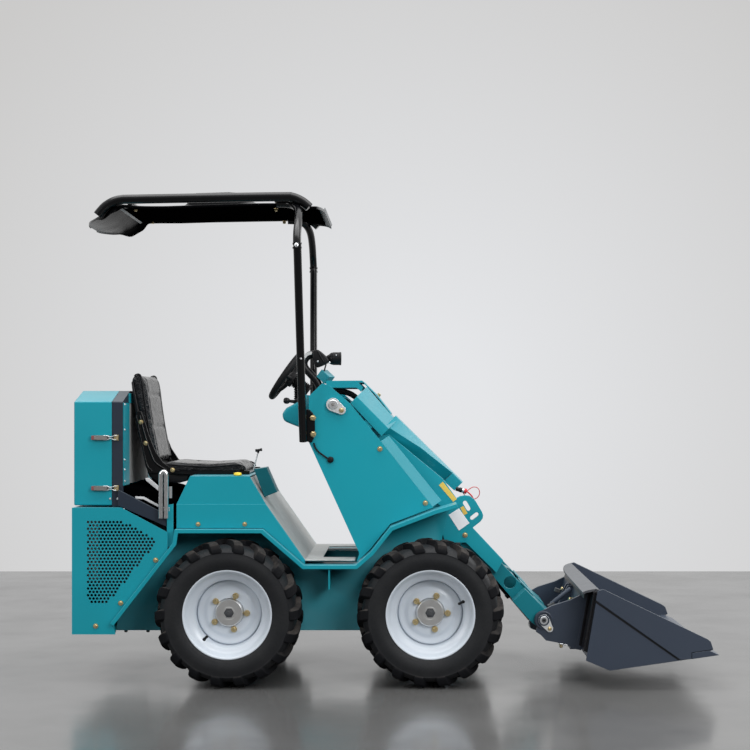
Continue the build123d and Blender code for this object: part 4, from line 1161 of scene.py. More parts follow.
def outlines_mesh(border, field):
    """Two closed outlines in one mesh about the field's centre, the field's points marked."""
    points = [((x - field_x) * MM, (z - field_z) * MM, 0) for x, z in [*border, *field]]
    edges = []
    for first, count in ((0, len(border)), (len(border), len(field))):
        edges += [(first + k, first + (k + 1) % count) for k in range(count)]
    mesh = bpy.data.meshes.new("outlines")
    mesh.from_pydata(points, edges, [])
    marks = mesh.attributes.new("field", "FLOAT", "POINT")
    marks.data.foreach_set("value", [0.0] * len(border) + [1.0] * len(field))
    return mesh


def perforated_plate(name, side, replaced):
    """The perforated side plate that faces outwards on one side."""
    outlines = outlines_mesh(side_panel_outline, perforated_field)
    mesh = grown_mesh(PERFORATED, outlines, "teal_paint", PERFORATION)
    mesh.transform(Matrix.Rotation(pi / 2, 4, "X"))
    if side > 0:
        mesh.transform(Matrix.Diagonal((1, -1, 1, 1)))
        mesh.flip_normals()
    mesh.transform(Matrix.Translation(Vector((field_x, side * panel_y, field_z)) * MM))
    place_mesh(name, mesh, None, "chassis", replaced)


perforated_plate("rear_panel_right", -1, ("rear_side_panels", "side_grilles"))
perforated_plate("rear_panel_left", 1, ())
rim_path = [Vector((x, -386, z)) for x, z in (
    (-1281, 701), (-1085, 701), (-903, 604), (-903, 540), (-1120, 250), (-1110, 206))]
flanges = []
for start, end in zip(rim_path, rim_path[1:]):
    along = end - start
    turn = Matrix.Rotation(-math.atan2(along.z, along.x), 4, "Y")
    flanges.append((block, Matrix.Translation((start + end) / 2) @ turn, (along.length, 22, 3)))
shape_piece("rear_panel_flanges", flanges, "teal_paint", "chassis", mirrored=True)
fasten("rear_panel_bolts", [(-946, -398, 498), (-1086, -398, 326), (-1186, -398, 234)], "chassis",
       head=7.5, height=5.5, washer=10.0)
fasten("frame_screws", [(-1135, -361, 741), (-1105, -361, 741)], "chassis", "zinc_plate", 3.2, 2.4, 4.6)
fasten("firewall_screws", [(-1081, -346, z, (1, 0, 0)) for z in (1120, 1018, 897, 857, 811)],
       "chassis", "zinc_plate", 3.6, 3.0, 5.5)
fasten("belly_bolts", [(x, -240, 199.5, DOWN) for x in (-1094, -1003)],
       "chassis", "cast_iron", 7.0, 9.0, 10.0)

# ---------------------------------------------------------------- chrome hairpin stack beside the seat base
stack_x, stack_y, stack_half = -914.5, -399.5, 10.8
arch = [(stack_x + stack_half * cos(a), stack_y, 838 + 1.15 * stack_half * sin(a))
        for a in [pi * k / 12 for k in range(13)]]
hairpin = [(stack_x + stack_half, stack_y, 665), *arch, (stack_x - stack_half, stack_y, 665)]
shape_piece("chrome_stack", [(round_tube, hairpin, 9.4, 24)],
            "chrome", "chassis", ("exhaust_pipe",), smooth=50)
shape_piece("stack_clips", [
    (block, (-888, -386, 768), (11, 5, 46)),
    (block, (-914, -386.5, 700), (44, 6, 16)),
], "zinc_plate", "chassis", edge=(1.0,))

# ---------------------------------------------------------------- seat base details
shape_piece("seat_base_laps", [
    (plate_xz, [(-865, 624), (-865, 720), (-507.5, 720), (-352, 498), (-353, 482), (-518, 624)],
     -384.5, -380),
    (plate_xz, [(-903, 545), (-903, 716), (-877, 722), (-877, 624), (-872, 560)], -388, -384),
    (block, (-901, -372, 640), (4, 28, 150)),
], "teal_paint", "chassis", edge=(1.3,), mirrored=True)
fasten("seat_base_bolts", [(-778, -384.5, 640.5), (-591, -384.5, 640.5)],
       "chassis", head=6.5, height=5, washer=9.0)
shape_piece("seat_knob", [
    (turned_shape, [(0, 0), (12, 0), (16, 3), (16, 9), (12, 13), (0, 14)],
     Matrix.Translation((-623, -350, 833)), 28),
], "knob_yellow", "chassis", smooth=50)
shape_piece("throttle_rod", [
    (round_tube, smooth_line([(-569, -255, 850), (-562, -255, 880), (-550, -255, 926)], 6), 2.6, 12),
], "zinc_plate", "chassis", smooth=50)
shape_piece("throttle_grip", [
    (turned_shape, [(0, -14), (5, -14), (6.5, -11), (5, -5), (5, 5), (6.5, 11), (5, 14), (0, 14)],
     Matrix.Translation((-547.5, -255, 934)) @ Matrix.Rotation(radians(80), 4, "Y"), 20),
    (turned_shape, [(0, -9), (4, -9), (4.5, 0), (0, 0)], aim_matrix((-548.5, -255, 930), (0.25, 0, 1)), 16),
], "black_plastic", "chassis", smooth=50)


# ================================================================ seat
def pad_base(outline, half_width, corner, voxel=6.0):
    """A rounded block with an X-Z outline, remeshed evenly, as a mesh in metres."""
    bm = bmesh.new()
    plate_xz(bm, outline, -half_width, half_width)
    bevelled(bm, corner, 4, 18.0)
    carrier = bpy.data.objects.new("pad", closed_mesh(bm))
    bpy.context.scene.collection.objects.link(carrier)
    remesh = carrier.modifiers.new("remesh", "REMESH")
    remesh.mode = "VOXEL"
    remesh.voxel_size = voxel * MM
    smooth = carrier.modifiers.new("smooth", "SMOOTH")
    smooth.iterations = 4
    return evaluated_mesh(carrier)


def swell(mesh, pressure, cap, frames=20):
    """The mesh blown up as sewn fabric, no point further than a cap in millimetres from where it was."""
    start = [vert.co.copy() for vert in mesh.vertices]
    carrier = bpy.data.objects.new("pad", mesh)
    bpy.context.scene.collection.objects.link(carrier)
    cloth = carrier.modifiers.new("cloth", "CLOTH")
    settings = cloth.settings
    settings.quality = 6
    settings.mass = 0.3
    settings.tension_stiffness = settings.compression_stiffness = 18.0
    settings.bending_stiffness = 1.2
    settings.use_pressure = True
    settings.uniform_pressure_force = pressure
    settings.effector_weights.gravity = 0
    cloth.collision_settings.use_collision = False
    cloth.point_cache.frame_end = frames
    for frame_number in range(1, frames + 1):
        bpy.context.scene.frame_set(frame_number)
    swollen = evaluated_mesh(carrier)
    bpy.context.scene.frame_set(1)
    for vert, origin in zip(swollen.vertices, start):
        move = vert.co - origin
        if move.length > cap * MM:
            vert.co = origin + move.normalized() * cap * MM
    return swollen


def press_seams(mesh, seams, depth=6.0, spread=7.0):
    """Grooves along seams: each gives a signed distance in millimetres from a point in millimetres."""
    pushes = []
    for vert in mesh.vertices:
        place = vert.co / MM
        sunk = sum(depth * math.exp(-((seam(place) / spread) ** 2)) for seam in seams)
        pushes.append(vert.co - vert.normal * min(sunk, depth) * MM)
    for vert, place in zip(mesh.vertices, pushes):
        vert.co = place


def finish_pad(name, mesh, replaced):
    """A padded piece with one level of subdivision."""
    piece = place_mesh(name, mesh, "wrapped_vinyl", "chassis", replaced, smooth=180)
    finer = piece.modifiers.new("finer", "SUBSURF")
    finer.levels = finer.render_levels = 1


back_outline = [
    (-1077, 1232), (-1063, 1248), (-1046, 1250), (-1034, 1234), (-1025, 1180), (-1014, 1100), (-1000, 1010),
    (-983, 920), (-972, 880), (-988, 872), (-1006, 888), (-1022, 960), (-1044, 1060), (-1066, 1160),
]
cushion_outline = [
    (-962, 846), (-960, 868), (-925, 877), (-860, 872), (-760, 868), (-690, 872), (-640, 876), (-612, 868),
    (-603, 853), (-610, 841), (-640, 838), (-780, 838),
]
back_pad = swell(pad_base(back_outline, 203, 22.0), 3.0, 8.0)
press_seams(back_pad, [
    lambda p: p.z - 1165 if abs(p.y) < 150 else 1e3,
    lambda p: abs(p.y) - 150 if p.x > -1035 + (1240 - p.z) * 0.16 else 1e3,
    lambda p: p.z - 1030 if abs(p.y) < 150 else 1e3,
])
finish_pad("backrest_pad", back_pad, ("seat_backrest",))
cushion_pad = swell(pad_base(cushion_outline, 214, 16.0), 3.0, 8.0)
press_seams(cushion_pad, [
    lambda p: abs(p.y) - 155 if p.z > 866 else 1e3,
    lambda p: p.x + 735 if p.z > 866 and abs(p.y) < 155 else 1e3,
    lambda p: p.x + 845 if p.z > 866 and abs(p.y) < 155 else 1e3,
], 5.0, 6.0)
finish_pad("cushion_pad", cushion_pad, ("seat_cushion",))


def inset_line(points, distance):
    """A line of X-Z points moved to its right hand side by a distance."""
    line = [Vector(point) for point in points]
    moved = []
    for before, point, after in zip([line[0], *line], line, [*line[1:], line[-1]]):
        along = (after - before).normalized()
        moved.append(point + Vector((along.y, -along.x)) * distance)
    return moved


# piping: line of X-Z points, place across, how far it sits inside the pad's outline
PIPING = [
    ([(-1070, 1240), *back_outline[1:9]], 196.5, 4.5),
    ([(-956, 872), (-925, 877), (-860, 872), (-760, 868), (-690, 872), (-640, 876), (-612, 868), (-603, 853)],
     209.5, 3.0),
]
shape_piece("seat_piping", [
    (round_tube, smooth_line([(p.x, side * y, p.y) for p in inset_line(points, sink)], 8), 3.0, 10)
    for points, y, sink in PIPING for side in BOTH_SIDES
], "black_plastic", "chassis", smooth=50)
shape_piece("seat_shell", [
    (plate_xz, [
        (-1079, 1214), (-1071, 1218), (-1058, 1150), (-1040, 1060), (-1018, 960), (-998, 886), (-962, 842),
        (-905, 834), (-846, 834), (-846, 806), (-880, 797), (-972, 800), (-1004, 822), (-1018, 862),
        (-1033, 940), (-1052, 1040), (-1070, 1140)], -204, 204),
], "black_plastic", "chassis", smooth=50, edge=(5.0, 3))
bracket_bm = bmesh.new()
plate_xz(bracket_bm, [
    (-1004, 838), (-880, 836), (-878, 850), (-915, 862), (-946, 884), (-976, 930), (-1000, 990),
    (-1022, 1060), (-1034, 1092), (-1054, 1096), (-1060, 1072), (-1050, 1020), (-1032, 940),
    (-1018, 870)], -221, -215)
bevelled(bracket_bm, 2.2, 3)
# pressed rib of the seat's bracket: line of X-Z points, place across, radius
for points, y, radius in [
    ([(-1040, 1076), (-1022, 1005), (-1000, 935), (-976, 882), (-930, 850)], -221, 4.5),
    ([(-1055, 1076), (-1042, 1010), (-1026, 935), (-1010, 872), (-990, 846)], -220, 3.5),
]:
    round_tube(bracket_bm, smooth_line([(x, y, z) for x, z in points], 8), radius, 10)
block(bracket_bm, (-742, -222, 841), (310, 12, 14))
mirrored_copy(bracket_bm)
make_piece("seat_brackets", bracket_bm, "black_gloss", "chassis", ("seat_frame",), smooth=40)
shape_piece("seat_pan", [(block, (-752, 0, 840), (318, 430, 7))],
            "black_gloss", "chassis", smooth=40, edge=(1.5,))
fasten("seat_bolts", [(-1035, -223, 1049), (-1015, -223, 962), (-905, -223, 852)],
       "chassis", head=7, height=5, washer=9.5)


# ================================================================ canopy
rail_radius, post_radius, collar_radius = 19.0, 16.0, 18.5
rail_line = [
    (-1192, 1886), (-1180, 1901), (-1160, 1922), (-1130, 1940), (-1095, 1949), (-1040, 1951), (-760, 1956),
    (-450, 1961), (-405, 1959), (-372, 1946), (-350, 1931), (-336, 1918)]
post_line = [
    (-359, -348, 971), (-362.5, -398, 1180), (-366.6, -461.5, 1455), (-370, -522, 1722), (-371, -530, 1750),
    (-372, -508, 1796), (-372, -450, 1846), (-375, -385, 1888), (-385, -336, 1914), (-404, -306, 1931),
    (-430, -293, 1938), (-470, -290, 1940)]
canopy_bm = bmesh.new()
round_tube(canopy_bm, smooth_line([(x, -330, z) for x, z in rail_line], 6), rail_radius, 28)
round_tube(canopy_bm, smooth_line(post_line, 6), post_radius, 24)
for z in (1734, 1750):
    turned_shape(canopy_bm, [(0, -3), (collar_radius, -3), (collar_radius, 3), (0, 3)],
                 aim_matrix((-370.7, -528, z), (0.02, 0.2, -1)), 28)
mirrored_copy(canopy_bm)
for x in (-470, -1080):
    round_tube(canopy_bm, [(x, -330, 1950), (x, 330, 1950)], 11.0, 18)
    for y in (-215, 215):
        block(canopy_bm, (x, y, 1944), (20, 20, 16))
make_piece("canopy_tubes", canopy_bm, "black_gloss", "chassis", ("canopy_frame",), smooth=50)
shape_piece("post_joint_pins", [
    (turned_shape, [(0, 0), (7, 0), (8.5, 2), (8.5, 5), (6, 7), (0, 7)],
     aim_matrix((-372, -547, 1742), OUTWARD), 20),
], "zinc_plate", "chassis", smooth=40, mirrored=True)

# roof shell: place along X, height of its top, half width
ROOF_ROWS = [
    (-1274, 1876, 60), (-1271, 1877, 112), (-1263, 1879, 156), (-1250, 1881, 194), (-1233, 1883, 226),
    (-1212, 1888, 258), (-1190, 1896, 292), (-1168, 1907, 316), (-1150, 1919, 326), (-1136, 1928, 330),
    (-1123, 1934, 326), (-1108, 1937, 312), (-1092, 1937.5, 286), (-1074, 1938, 268), (-1052, 1937, 256),
    (-1010, 1936, 251), (-940, 1936, 250), (-900, 1937, 250), (-870, 1938, 250), (-850, 1938.5, 250),
    (-836, 1939, 250), (-815, 1940, 250), (-780, 1941, 250), (-715, 1943, 250), (-650, 1945, 250),
    (-615, 1946, 250), (-594, 1946.5, 250), (-580, 1947, 250), (-560, 1947.5, 250), (-530, 1948, 250),
    (-480, 1948, 250), (-420, 1946, 251), (-388, 1941, 256), (-366, 1936, 268), (-346, 1932, 282),
    (-326, 1930, 294), (-310, 1929, 300), (-301, 1927.5, 301), (-292, 1925, 300), (-284, 1921, 298),
    (-277, 1916, 294),
]
# share of the half width across the roof, and how far the edge rolls down
ROOF_ACROSS = [
    (0.0, 0), (0.25, 0), (0.5, 0), (0.68, 0), (0.76, 0), (0.83, 0), (0.9, 0), (0.955, 0.8), (0.985, 2.2),
    (1.0, 4.5)]
crown_rise, crown_half_width, crown_rear, crown_front = 58.0, 196.0, -868.0, -536.0
roof_thickness = 9.0
# the rear stretch where the edge rolls down further: its ends along X, and how much further
roll_rear, roll_front, extra_roll = -1215.0, -1085.0, 5.0


def eased(value):
    """A smooth step from 0 to 1."""
    held = min(1.0, max(0.0, value))
    return held * held * (3 - 2 * held)


def crown_at(x, y):
    """Height of the raised middle of the roof over its sheet."""
    along = eased((x - crown_rear) / 54) * eased((crown_front - x) / 132)
    across = eased((crown_half_width + 36 - abs(y)) / 52)
    return crown_rise * along * across


def rim_of(grid):
    """The outer loop of a grid of points."""
    right = [row[-1] for row in grid[1:-1]]
    left = [row[0] for row in grid[-2:0:-1]]
    return grid[0] + right + grid[-1][::-1] + left


roof_bm = bmesh.new()
across_half = ROOF_ACROSS[:0:-1]
across = [(-share, roll) for share, roll in across_half] + ROOF_ACROSS
layers = []
for drop in (0.0, roof_thickness):
    grid = []
    for x, z, half in smooth_line(ROOF_ROWS, 2):
        rolled = 1 + extra_roll * eased((x - roll_rear) / 50) * eased((roll_front - x) / 40)
        grid.append([
            roof_bm.verts.new((x, share * half, z + crown_at(x, share * half) - roll * rolled - drop))
            for share, roll in across
        ])
    layers.append(grid)
for grid in layers:
    for first, second in zip(grid, grid[1:]):
        for k in range(len(across) - 1):
            roof_bm.faces.new((first[k], second[k], second[k + 1], first[k + 1]))
rim_top, rim_under = [rim_of(grid) for grid in layers]
for k, corner in enumerate(rim_top):
    following = (k + 1) % len(rim_top)
    roof_bm.faces.new((corner, rim_top[following], rim_under[following], rim_under[k]))
make_piece("roof_shell", roof_bm, "roof_plastic", "chassis", ("canopy_roof",), smooth=60)
liner_line = [(-1098, 1923), (-1060, 1926), (-940, 1925), (-715, 1932), (-530, 1937), (-420, 1935),
    (-360, 1924),
              (-300, 1915)]
# the roof lining is near black: painted shade under the roof
shape_piece("roof_lining", [
    (plate_xz, liner_line + [(x, z - 1.5) for x, z in liner_line[::-1]], -247, 247),
], "black_foam", "chassis", smooth=60)
# grey strip under the rear visor: a painted highlight
shape_piece("visor_highlight_strip", [
    (block, Matrix.Translation((-1112, -34, 1922)) @ Matrix.Rotation(radians(-30), 4, "Y"), (11, 532, 2)),
], "visor_grey", "chassis", smooth=50, edge=(0.6,))
# grey lip along the roof's front edge: a painted highlight
shape_piece("visor_lip", [
    (block, Matrix.Translation((-278, 0, 1915)) @ Matrix.Rotation(radians(30), 4, "Y"), (3, 580, 16)),
], "visor_grey", "chassis", smooth=40, edge=(1.2,))
fasten("roof_bolts", [(x, -214, 1929.5, DOWN) for x in (-1058, -480)], "chassis", head=7, height=9, washer=9)

# ================================================================ tower
fasten("tower_bolts", [(-50, -330, 941), (134, -330, 722)], "chassis", head=8.0, height=6.0, washer=10.5)
fasten("bracket_bolts", [(-322, -338, 1066), (-321, -338, 1001)],
       "chassis", head=11.0, height=9.0, washer=13.5)
fasten("loop_bolt", [(-63, 0, 1160, (0.74, 0, 0.67))], "boom", head=7.5, height=7, washer=9, both_sides=False)


def teardrop(bm, big, small, y_low, y_high, steps=14):
    """A keeper plate: the hull of two circles (x, z, radius) between two Y values."""
    (bx, bz, br), (sx, sz, sr) = big, small
    heading = math.atan2(sz - bz, sx - bx)
    lean = math.acos((br - sr) / math.hypot(sx - bx, sz - bz))
    outline = []
    for k in range(steps + 1):
        angle = heading + lean + (2 * pi - 2 * lean) * k / steps
        outline.append((bx + br * cos(angle), bz + br * sin(angle)))
    for k in range(steps + 1):
        angle = heading - lean + 2 * lean * k / steps
        outline.append((sx + sr * cos(angle), sz + sr * sin(angle)))
    plate_xz(bm, outline, y_low, y_high)


pivot_x, pivot_z = -239.5, 1120.0
shape_piece("pin_keepers", [(teardrop, (pivot_x, pivot_z, 27), (-205, 1097, 17), -342.5, -338.5)],
            "keeper_white", "boom", edge=(1.2,), mirrored=True)
shape_piece("pin_washers", [
    (turned_shape, [(0, 0), (19.5, 0), (19.5, 2.5), (17.5, 4.2), (8, 4.2), (8, 2.6), (0, 2.6)],
     aim_matrix((pivot_x, -342.5, pivot_z), OUTWARD), 40),
], "zinc_plate", "boom", mirrored=True)
shape_piece("pin_nuts", [
    (turned_shape, [(0, 0), (7.0, 0), (7.0, 5.5), (0, 5.5)],
     aim_matrix((pivot_x, -343, pivot_z), OUTWARD), 6),
], "bare_steel", "boom", edge=(0.8,), mirrored=True)
fasten("keeper_bolts", [(-205, -342.5, 1097)], "boom", head=8.5, height=6.0, washer=10.0)
shape_piece("pivot_pin", [
    (turned_shape, [(0, -338.4), (20.4, -338.4), (21.6, -337.2), (21.6, 337.2), (20.4, 338.4), (0, 338.4)],
     Matrix.Translation((pivot_x, 0, pivot_z)) @ Matrix.Rotation(-pi / 2, 4, "X"), 48),
], "zinc_plate", "boom", ("boom_pin",))
shape_piece("post_plates", [
    (plate_xz, [(-352, 972), (-326, 966), (-318, 980), (-312, 1020), (-313, 1062), (-320, 1086), (-334, 1100),
                (-352, 1102)], -340, -330.4),
], "black_gloss", "chassis", ("post_brackets",), smooth=40, edge=(3.0, 3), mirrored=True)


def slab(bm, outline, offset):
    """A slab from a flat outline in space and a copy of it moved by an offset."""
    skin = [bm.verts.new(corner) for corner in outline]
    back = [bm.verts.new(Vector(corner) + Vector(offset)) for corner in outline]
    bm.faces.new(skin)
    bm.faces.new(back[::-1])
    for k, corner in enumerate(skin):
        following = (k + 1) % len(skin)
        bm.faces.new((corner, back[k], back[following], skin[following]))


shape_piece("tower_front_lips", [
    (slab, [(-47, -330.6, 972), (163, -330.6, 706), (199, -319.5, 731), (-14, -319.5, 993)], (0, 5, 0)),
], "dusty_teal", "chassis", edge=(1.2,), mirrored=True)

# ================================================================ boom side plates
boom_outer, boom_inner, rod_y = 262.0, 237.0, 180.0
ARM_RIGHT = [
    (-272, 1084), (-266, 1156), (-205, 1150), (-20, 1002), (205, 818), (262, 737), (276, 745), (296, 749),
    (314, 747), (329, 738), (340, 726), (366, 682), (371, 668), (369, 655), (361, 643), (331, 619),
    (329, 616), (453, 484), (425, 432), (300, 556), (214, 556), (206, 590), (208, 640), (218, 668),
    (196, 705), (120, 780),
]
ARM_LEFT = [
    (-272, 1084), (-266, 1156), (-205, 1150), (-20, 1002), (205, 818), (260, 727), (321, 608), (442, 472),
    (425, 432), (300, 556), (262, 640), (120, 780),
]


def slot_outline(x, z, length, width, angle, steps=8):
    """A rounded slot's outline, its length at an angle in degrees."""
    run, radius, turn = (length - width) / 2, width / 2, radians(angle)
    outline = []
    for end in (0, 1):
        for k in range(steps + 1):
            a = turn - pi / 2 + pi * end + pi * k / steps
            shift = run if end == 0 else -run
            outline.append((x + shift * cos(turn) + radius * cos(a), z + shift * sin(turn) + radius * sin(a)))
    return outline


def round_outline(x, z, radius, steps=28):
    """A circle's outline."""
    angles = [2 * pi * k / steps for k in range(steps)]
    return [(x + radius * cos(a), z + radius * sin(a)) for a in angles]


def holed_plate(bm, outline, holes, y_low, y_high):
    """A flat plate with holes between two Y values."""
    sheet = bmesh.new()
    edges = []
    for loop in (outline, *holes):
        verts = [sheet.verts.new((x, y_low, z)) for x, z in loop]
        edges += [sheet.edges.new((a, b)) for a, b in zip(verts, verts[1:] + verts[:1])]
    bmesh.ops.triangle_fill(sheet, use_beauty=True, use_dissolve=False, edges=edges)
    bmesh.ops.dissolve_limit(sheet, angle_limit=0.01, verts=sheet.verts, edges=sheet.edges)
    grown = bmesh.ops.extrude_face_region(sheet, geom=sheet.faces[:])["geom"]
    far_verts = [item for item in grown if isinstance(item, bmesh.types.BMVert)]
    bmesh.ops.translate(sheet, vec=(0, y_high - y_low, 0), verts=far_verts)
    bmesh.ops.recalc_face_normals(sheet, faces=sheet.faces)
    scratch = bpy.data.meshes.new("sheet")
    sheet.to_mesh(scratch)
    sheet.free()
    bm.from_mesh(scratch)
    bpy.data.meshes.remove(scratch)


arms_bm = bmesh.new()
pivot_hole = round_outline(pivot_x, pivot_z, 22.1, 40)
knee_slots = [slot_outline(304, 706, 46, 17, -60), slot_outline(335, 664, 40, 17, 38)]
holed_plate(arms_bm, ARM_RIGHT, [pivot_hole, *knee_slots], -boom_outer, -boom_inner)
holed_plate(arms_bm, ARM_LEFT, [pivot_hole], boom_inner, boom_outer)
for side in BOTH_SIDES:
    rod_lug = [(-92, 932), (-92, 990), (0, 990), (0, 932), (-25, 912), (-65, 912)]
    plate_xz(arms_bm, rod_lug, *sorted((side * boom_inner, side * (rod_y + 26))))
    stop_bar = [(-110, 1058), (-80, 1030), (-94, 1016), (-124, 1044)]
    plate_xz(arms_bm, stop_bar, *sorted((side * 282, side * boom_outer)))
bevelled(arms_bm, 1.8)
for x, z, radius in ((150, 785, 36), (-150, 1070, 24)):
    round_tube(arms_bm, [(x, -boom_inner, z), (x, boom_inner, z)], radius, 32)
make_piece("boom_arm_plates", arms_bm, "teal_paint", "boom", ("boom_arms",), smooth=35)
fasten("arm_bolt", [(297, -262, 587)], "boom", head=8.5, height=6, washer=10.5)

LOWER_PLATE = [(326, 600), (618, 290), (566, 236), (352, 486), (330, 484), (296, 500), (270, 600)]
COUPLER_LUG = [
    (540, 371), (488, 322), (566, 236), (586, 221), (606, 212), (626, 214), (642, 228), (650, 248),
    (647, 268), (618, 292)]
FRONT_LIP = [(525, 389), (529, 393), (580, 339), (576, 335)]
lower_bm = bmesh.new()
for side in BOTH_SIDES:
    holed_plate(lower_bm, LOWER_PLATE, [round_outline(482, 390, 25)],
        *sorted((side * boom_inner, side * 217)))
    holed_plate(lower_bm, COUPLER_LUG, [round_outline(611.5, 250, 22.1, 36)],
        *sorted((side * 322, side * 60)))
    plate_xz(lower_bm, FRONT_LIP, *sorted((side * 70, side * 241)))
bevelled(lower_bm, 2.2)
round_tube(lower_bm, [(326, -217, 520), (326, 217, 520)], 13.9, 28)
# the cross tube behind the holes is dark teal: painted shade inside the boom
shape_piece("boom_cross_core", [
    (round_tube, [(478, side * 176, 388), (478, side * 70, 388)], 34, 36) for side in BOTH_SIDES
], "deep_teal", "boom", smooth=40)
# the lower boom takes the darker teal: painted shade
make_piece("lower_boom", lower_bm, "boom_teal", "boom", ("boom_lower_frame",), smooth=35)

# cover section: distance along the boom, ridge half width, ridge, side half width, shoulder, lower half
# width, lower edge
UPPER_COVER = [(-167, 240, 1.7, 286, -55, 286, -92), (18, 240, -14.05, 286, -57, 286, -100)]
LOWER_COVER = [
    (0, 238, 0, 285, -56, 281, -99), (40, 214, 0, 266, -48, 256, -74), (166, 170, 0, 206, -22, 182, -67),
    (336, 104, 0, 110, -5, 92, -56)]
COVER_END = [(337, 104, 0, 110, -5, 110, -54), (395, 104, 0, 110, -5, 110, -52)]
slope = radians(-44.6)
cover_frame = Matrix((
    (0, -sin(slope), cos(slope), 12.5), (1, 0, 0, 0), (0, cos(slope), sin(slope), 1075.0), (0, 0, 0, 1)))
cover_skin = 4.0


def cover_piece(bm, sections):
    """A stretch of the cover as an open channel of sheet metal."""
    rings = []
    for along, crest_half, ridge, half, shoulder, low_half, low in sections:
        ring = []
        for inset in (0.0, cover_skin):
            side = [(-low_half + inset, low), (-half + inset, shoulder - 0.6 * inset),
                (-crest_half + 0.3 * inset, ridge - inset)]
            corners = side + [(-y, z) for y, z in side[::-1]]
            ring += corners if inset == 0 else corners[::-1]
        rings.append([bm.verts.new(cover_frame @ Vector((y, z, along))) for y, z in ring])
    for first, second in zip(rings, rings[1:]):
        for k in range(12):
            following = (k + 1) % 12
            bm.faces.new((first[k], first[following], second[following], second[k]))
    for ring in (rings[0], rings[-1]):
        for k in range(5):
            bm.faces.new((ring[k], ring[k + 1], ring[10 - k], ring[11 - k]))


# the boom cover's pale top is a painted sheen
shape_piece("boom_cover_sheet", [
    (cover_piece, sections) for sections in (UPPER_COVER, LOWER_COVER, COVER_END)
], "pale_teal", "boom", ("boom_cover",), edge=(1.2,))

# blank labels, and the hydraulic coupling at the knee
label_low, label_high = -263.2, -262.1
shape_piece("labels_yellow", [
    (plate_xz, [(190, 791), (206, 805), (263, 734), (248, 723)], label_low, label_high),
    (plate_xz, [(277, 699), (290, 706), (307, 676), (292, 668)], label_low, label_high),
], "label_yellow", "boom", smooth=None)
shape_piece("label_white", [
    (plate_xz, [(230, 669.5), (272, 696), (315, 636), (272, 605)], label_low, label_high),
], "label_white", "boom", smooth=None)
coupling = aim_matrix((283, -212, 768), Vector((0.86, 0, -0.22)).normalized())
# part of the coupling: finish, slot, profile of (radius, distance along)
for name, finish, slot, profile in [
    ("coupling_body", "black_plastic", "rubber",
     [(0, -23), (8.5, -23), (8.5, -9), (10, -7.5), (10, 3), (0, 3)]),
    ("coupling_sleeve", "zinc_plate", "steel", [(0, 3), (8, 3), (9.2, 4.5), (9.2, 11), (8, 12), (0, 12)]),
    ("coupling_cap", "red_rubber", "rubber",
     [(0, 12), (10, 12), (10.8, 13.5), (10.8, 21), (8.5, 23.5), (0, 23.5)]),
]:
    shape_piece(name, [(turned_shape, profile, coupling, 24)], finish, "boom", smooth=40)
# free cords on the boom: name, length in metres, radius, finish, far end, route
for name, length, radius, finish, far_end, route in [
    ("cap_tether", 0.166, 1.6, "red_rubber", "object", [
        (290, -212, 757), (300, -212, 743), (318, -212, 731), (340, -212, 730), (356, -212, 743),
        (360, -212, 762), (351, -212, 779), (332, -212, 782), (317, -212, 773), (306, -212, 763)]),
    ("coupling_tail", 0.057, 3.0, "red_rubber", "bare", [
        (303, -218, 765), (318, -222, 754), (331, -223, 738), (335, -222, 720)]),
    ("boom_hose_right", 0.2, 9.5, "black_rubber", "object", [
        (-245, -150, 1180), (-205, -150, 1180), (-160, -150, 1162), (-126, -150, 1122), (-112, -150, 1060)]),
    ("boom_hose_middle", 0.2, 9.5, "black_rubber", "object", [
        (-245, -120, 1174), (-205, -120, 1174), (-160, -120, 1156), (-126, -120, 1116), (-112, -120, 1054)]),
    ("boom_hose_left", 0.2, 9.5, "black_rubber", "object", [
        (-245, -92, 1178), (-205, -92, 1178), (-160, -92, 1160), (-126, -92, 1120), (-112, -92, 1058)]),
]:
    cord_piece(name, route, radius, finish, "boom")

tilt_foot = (326, 0, 520)
tilt_frame = aim_matrix(tilt_foot, (275, 0, -328))
ports = [
    (turned_shape, [(0, 16), (8, 16), (8, 25), (6.5, 26), (6.5, 33), (0, 33)],
     aim_matrix(tilt_frame @ Vector((0, 0, reach)), (0.766, 0, 0.643)), 6)
    for reach in (36, 244)]
shape_piece("tilt_tube", [
    (turned_shape, [(0, 15), (19, 15), (20, 18), (20, 60.5), (0, 60.5)], tilt_frame, 36),
    (closed_lathe, [(14.2, 60), (20, 60), (20, 257), (23, 259), (23, 274), (21.5, 276), (14.2, 276)],
     tilt_frame, 36),
    *ports,
    (closed_lathe, [(14.6, -15), (24, -15), (24, 15), (14.6, 15)], aim_matrix(tilt_foot, (0, 1, 0)), 32),
], "black_gloss", "tilt_barrel", ("tilt_barrel",), smooth=40)

# ================================================================ coupler dress
ear_x, ear_z, ear_face = 611.5, 250.0, -346.0
shape_piece("ear_keepers", [(teardrop, (ear_x, ear_z, 23), (635, 216, 14), ear_face - 5, ear_face - 1)],
            "keeper_white", "bucket", edge=(1.2,), mirrored=True)
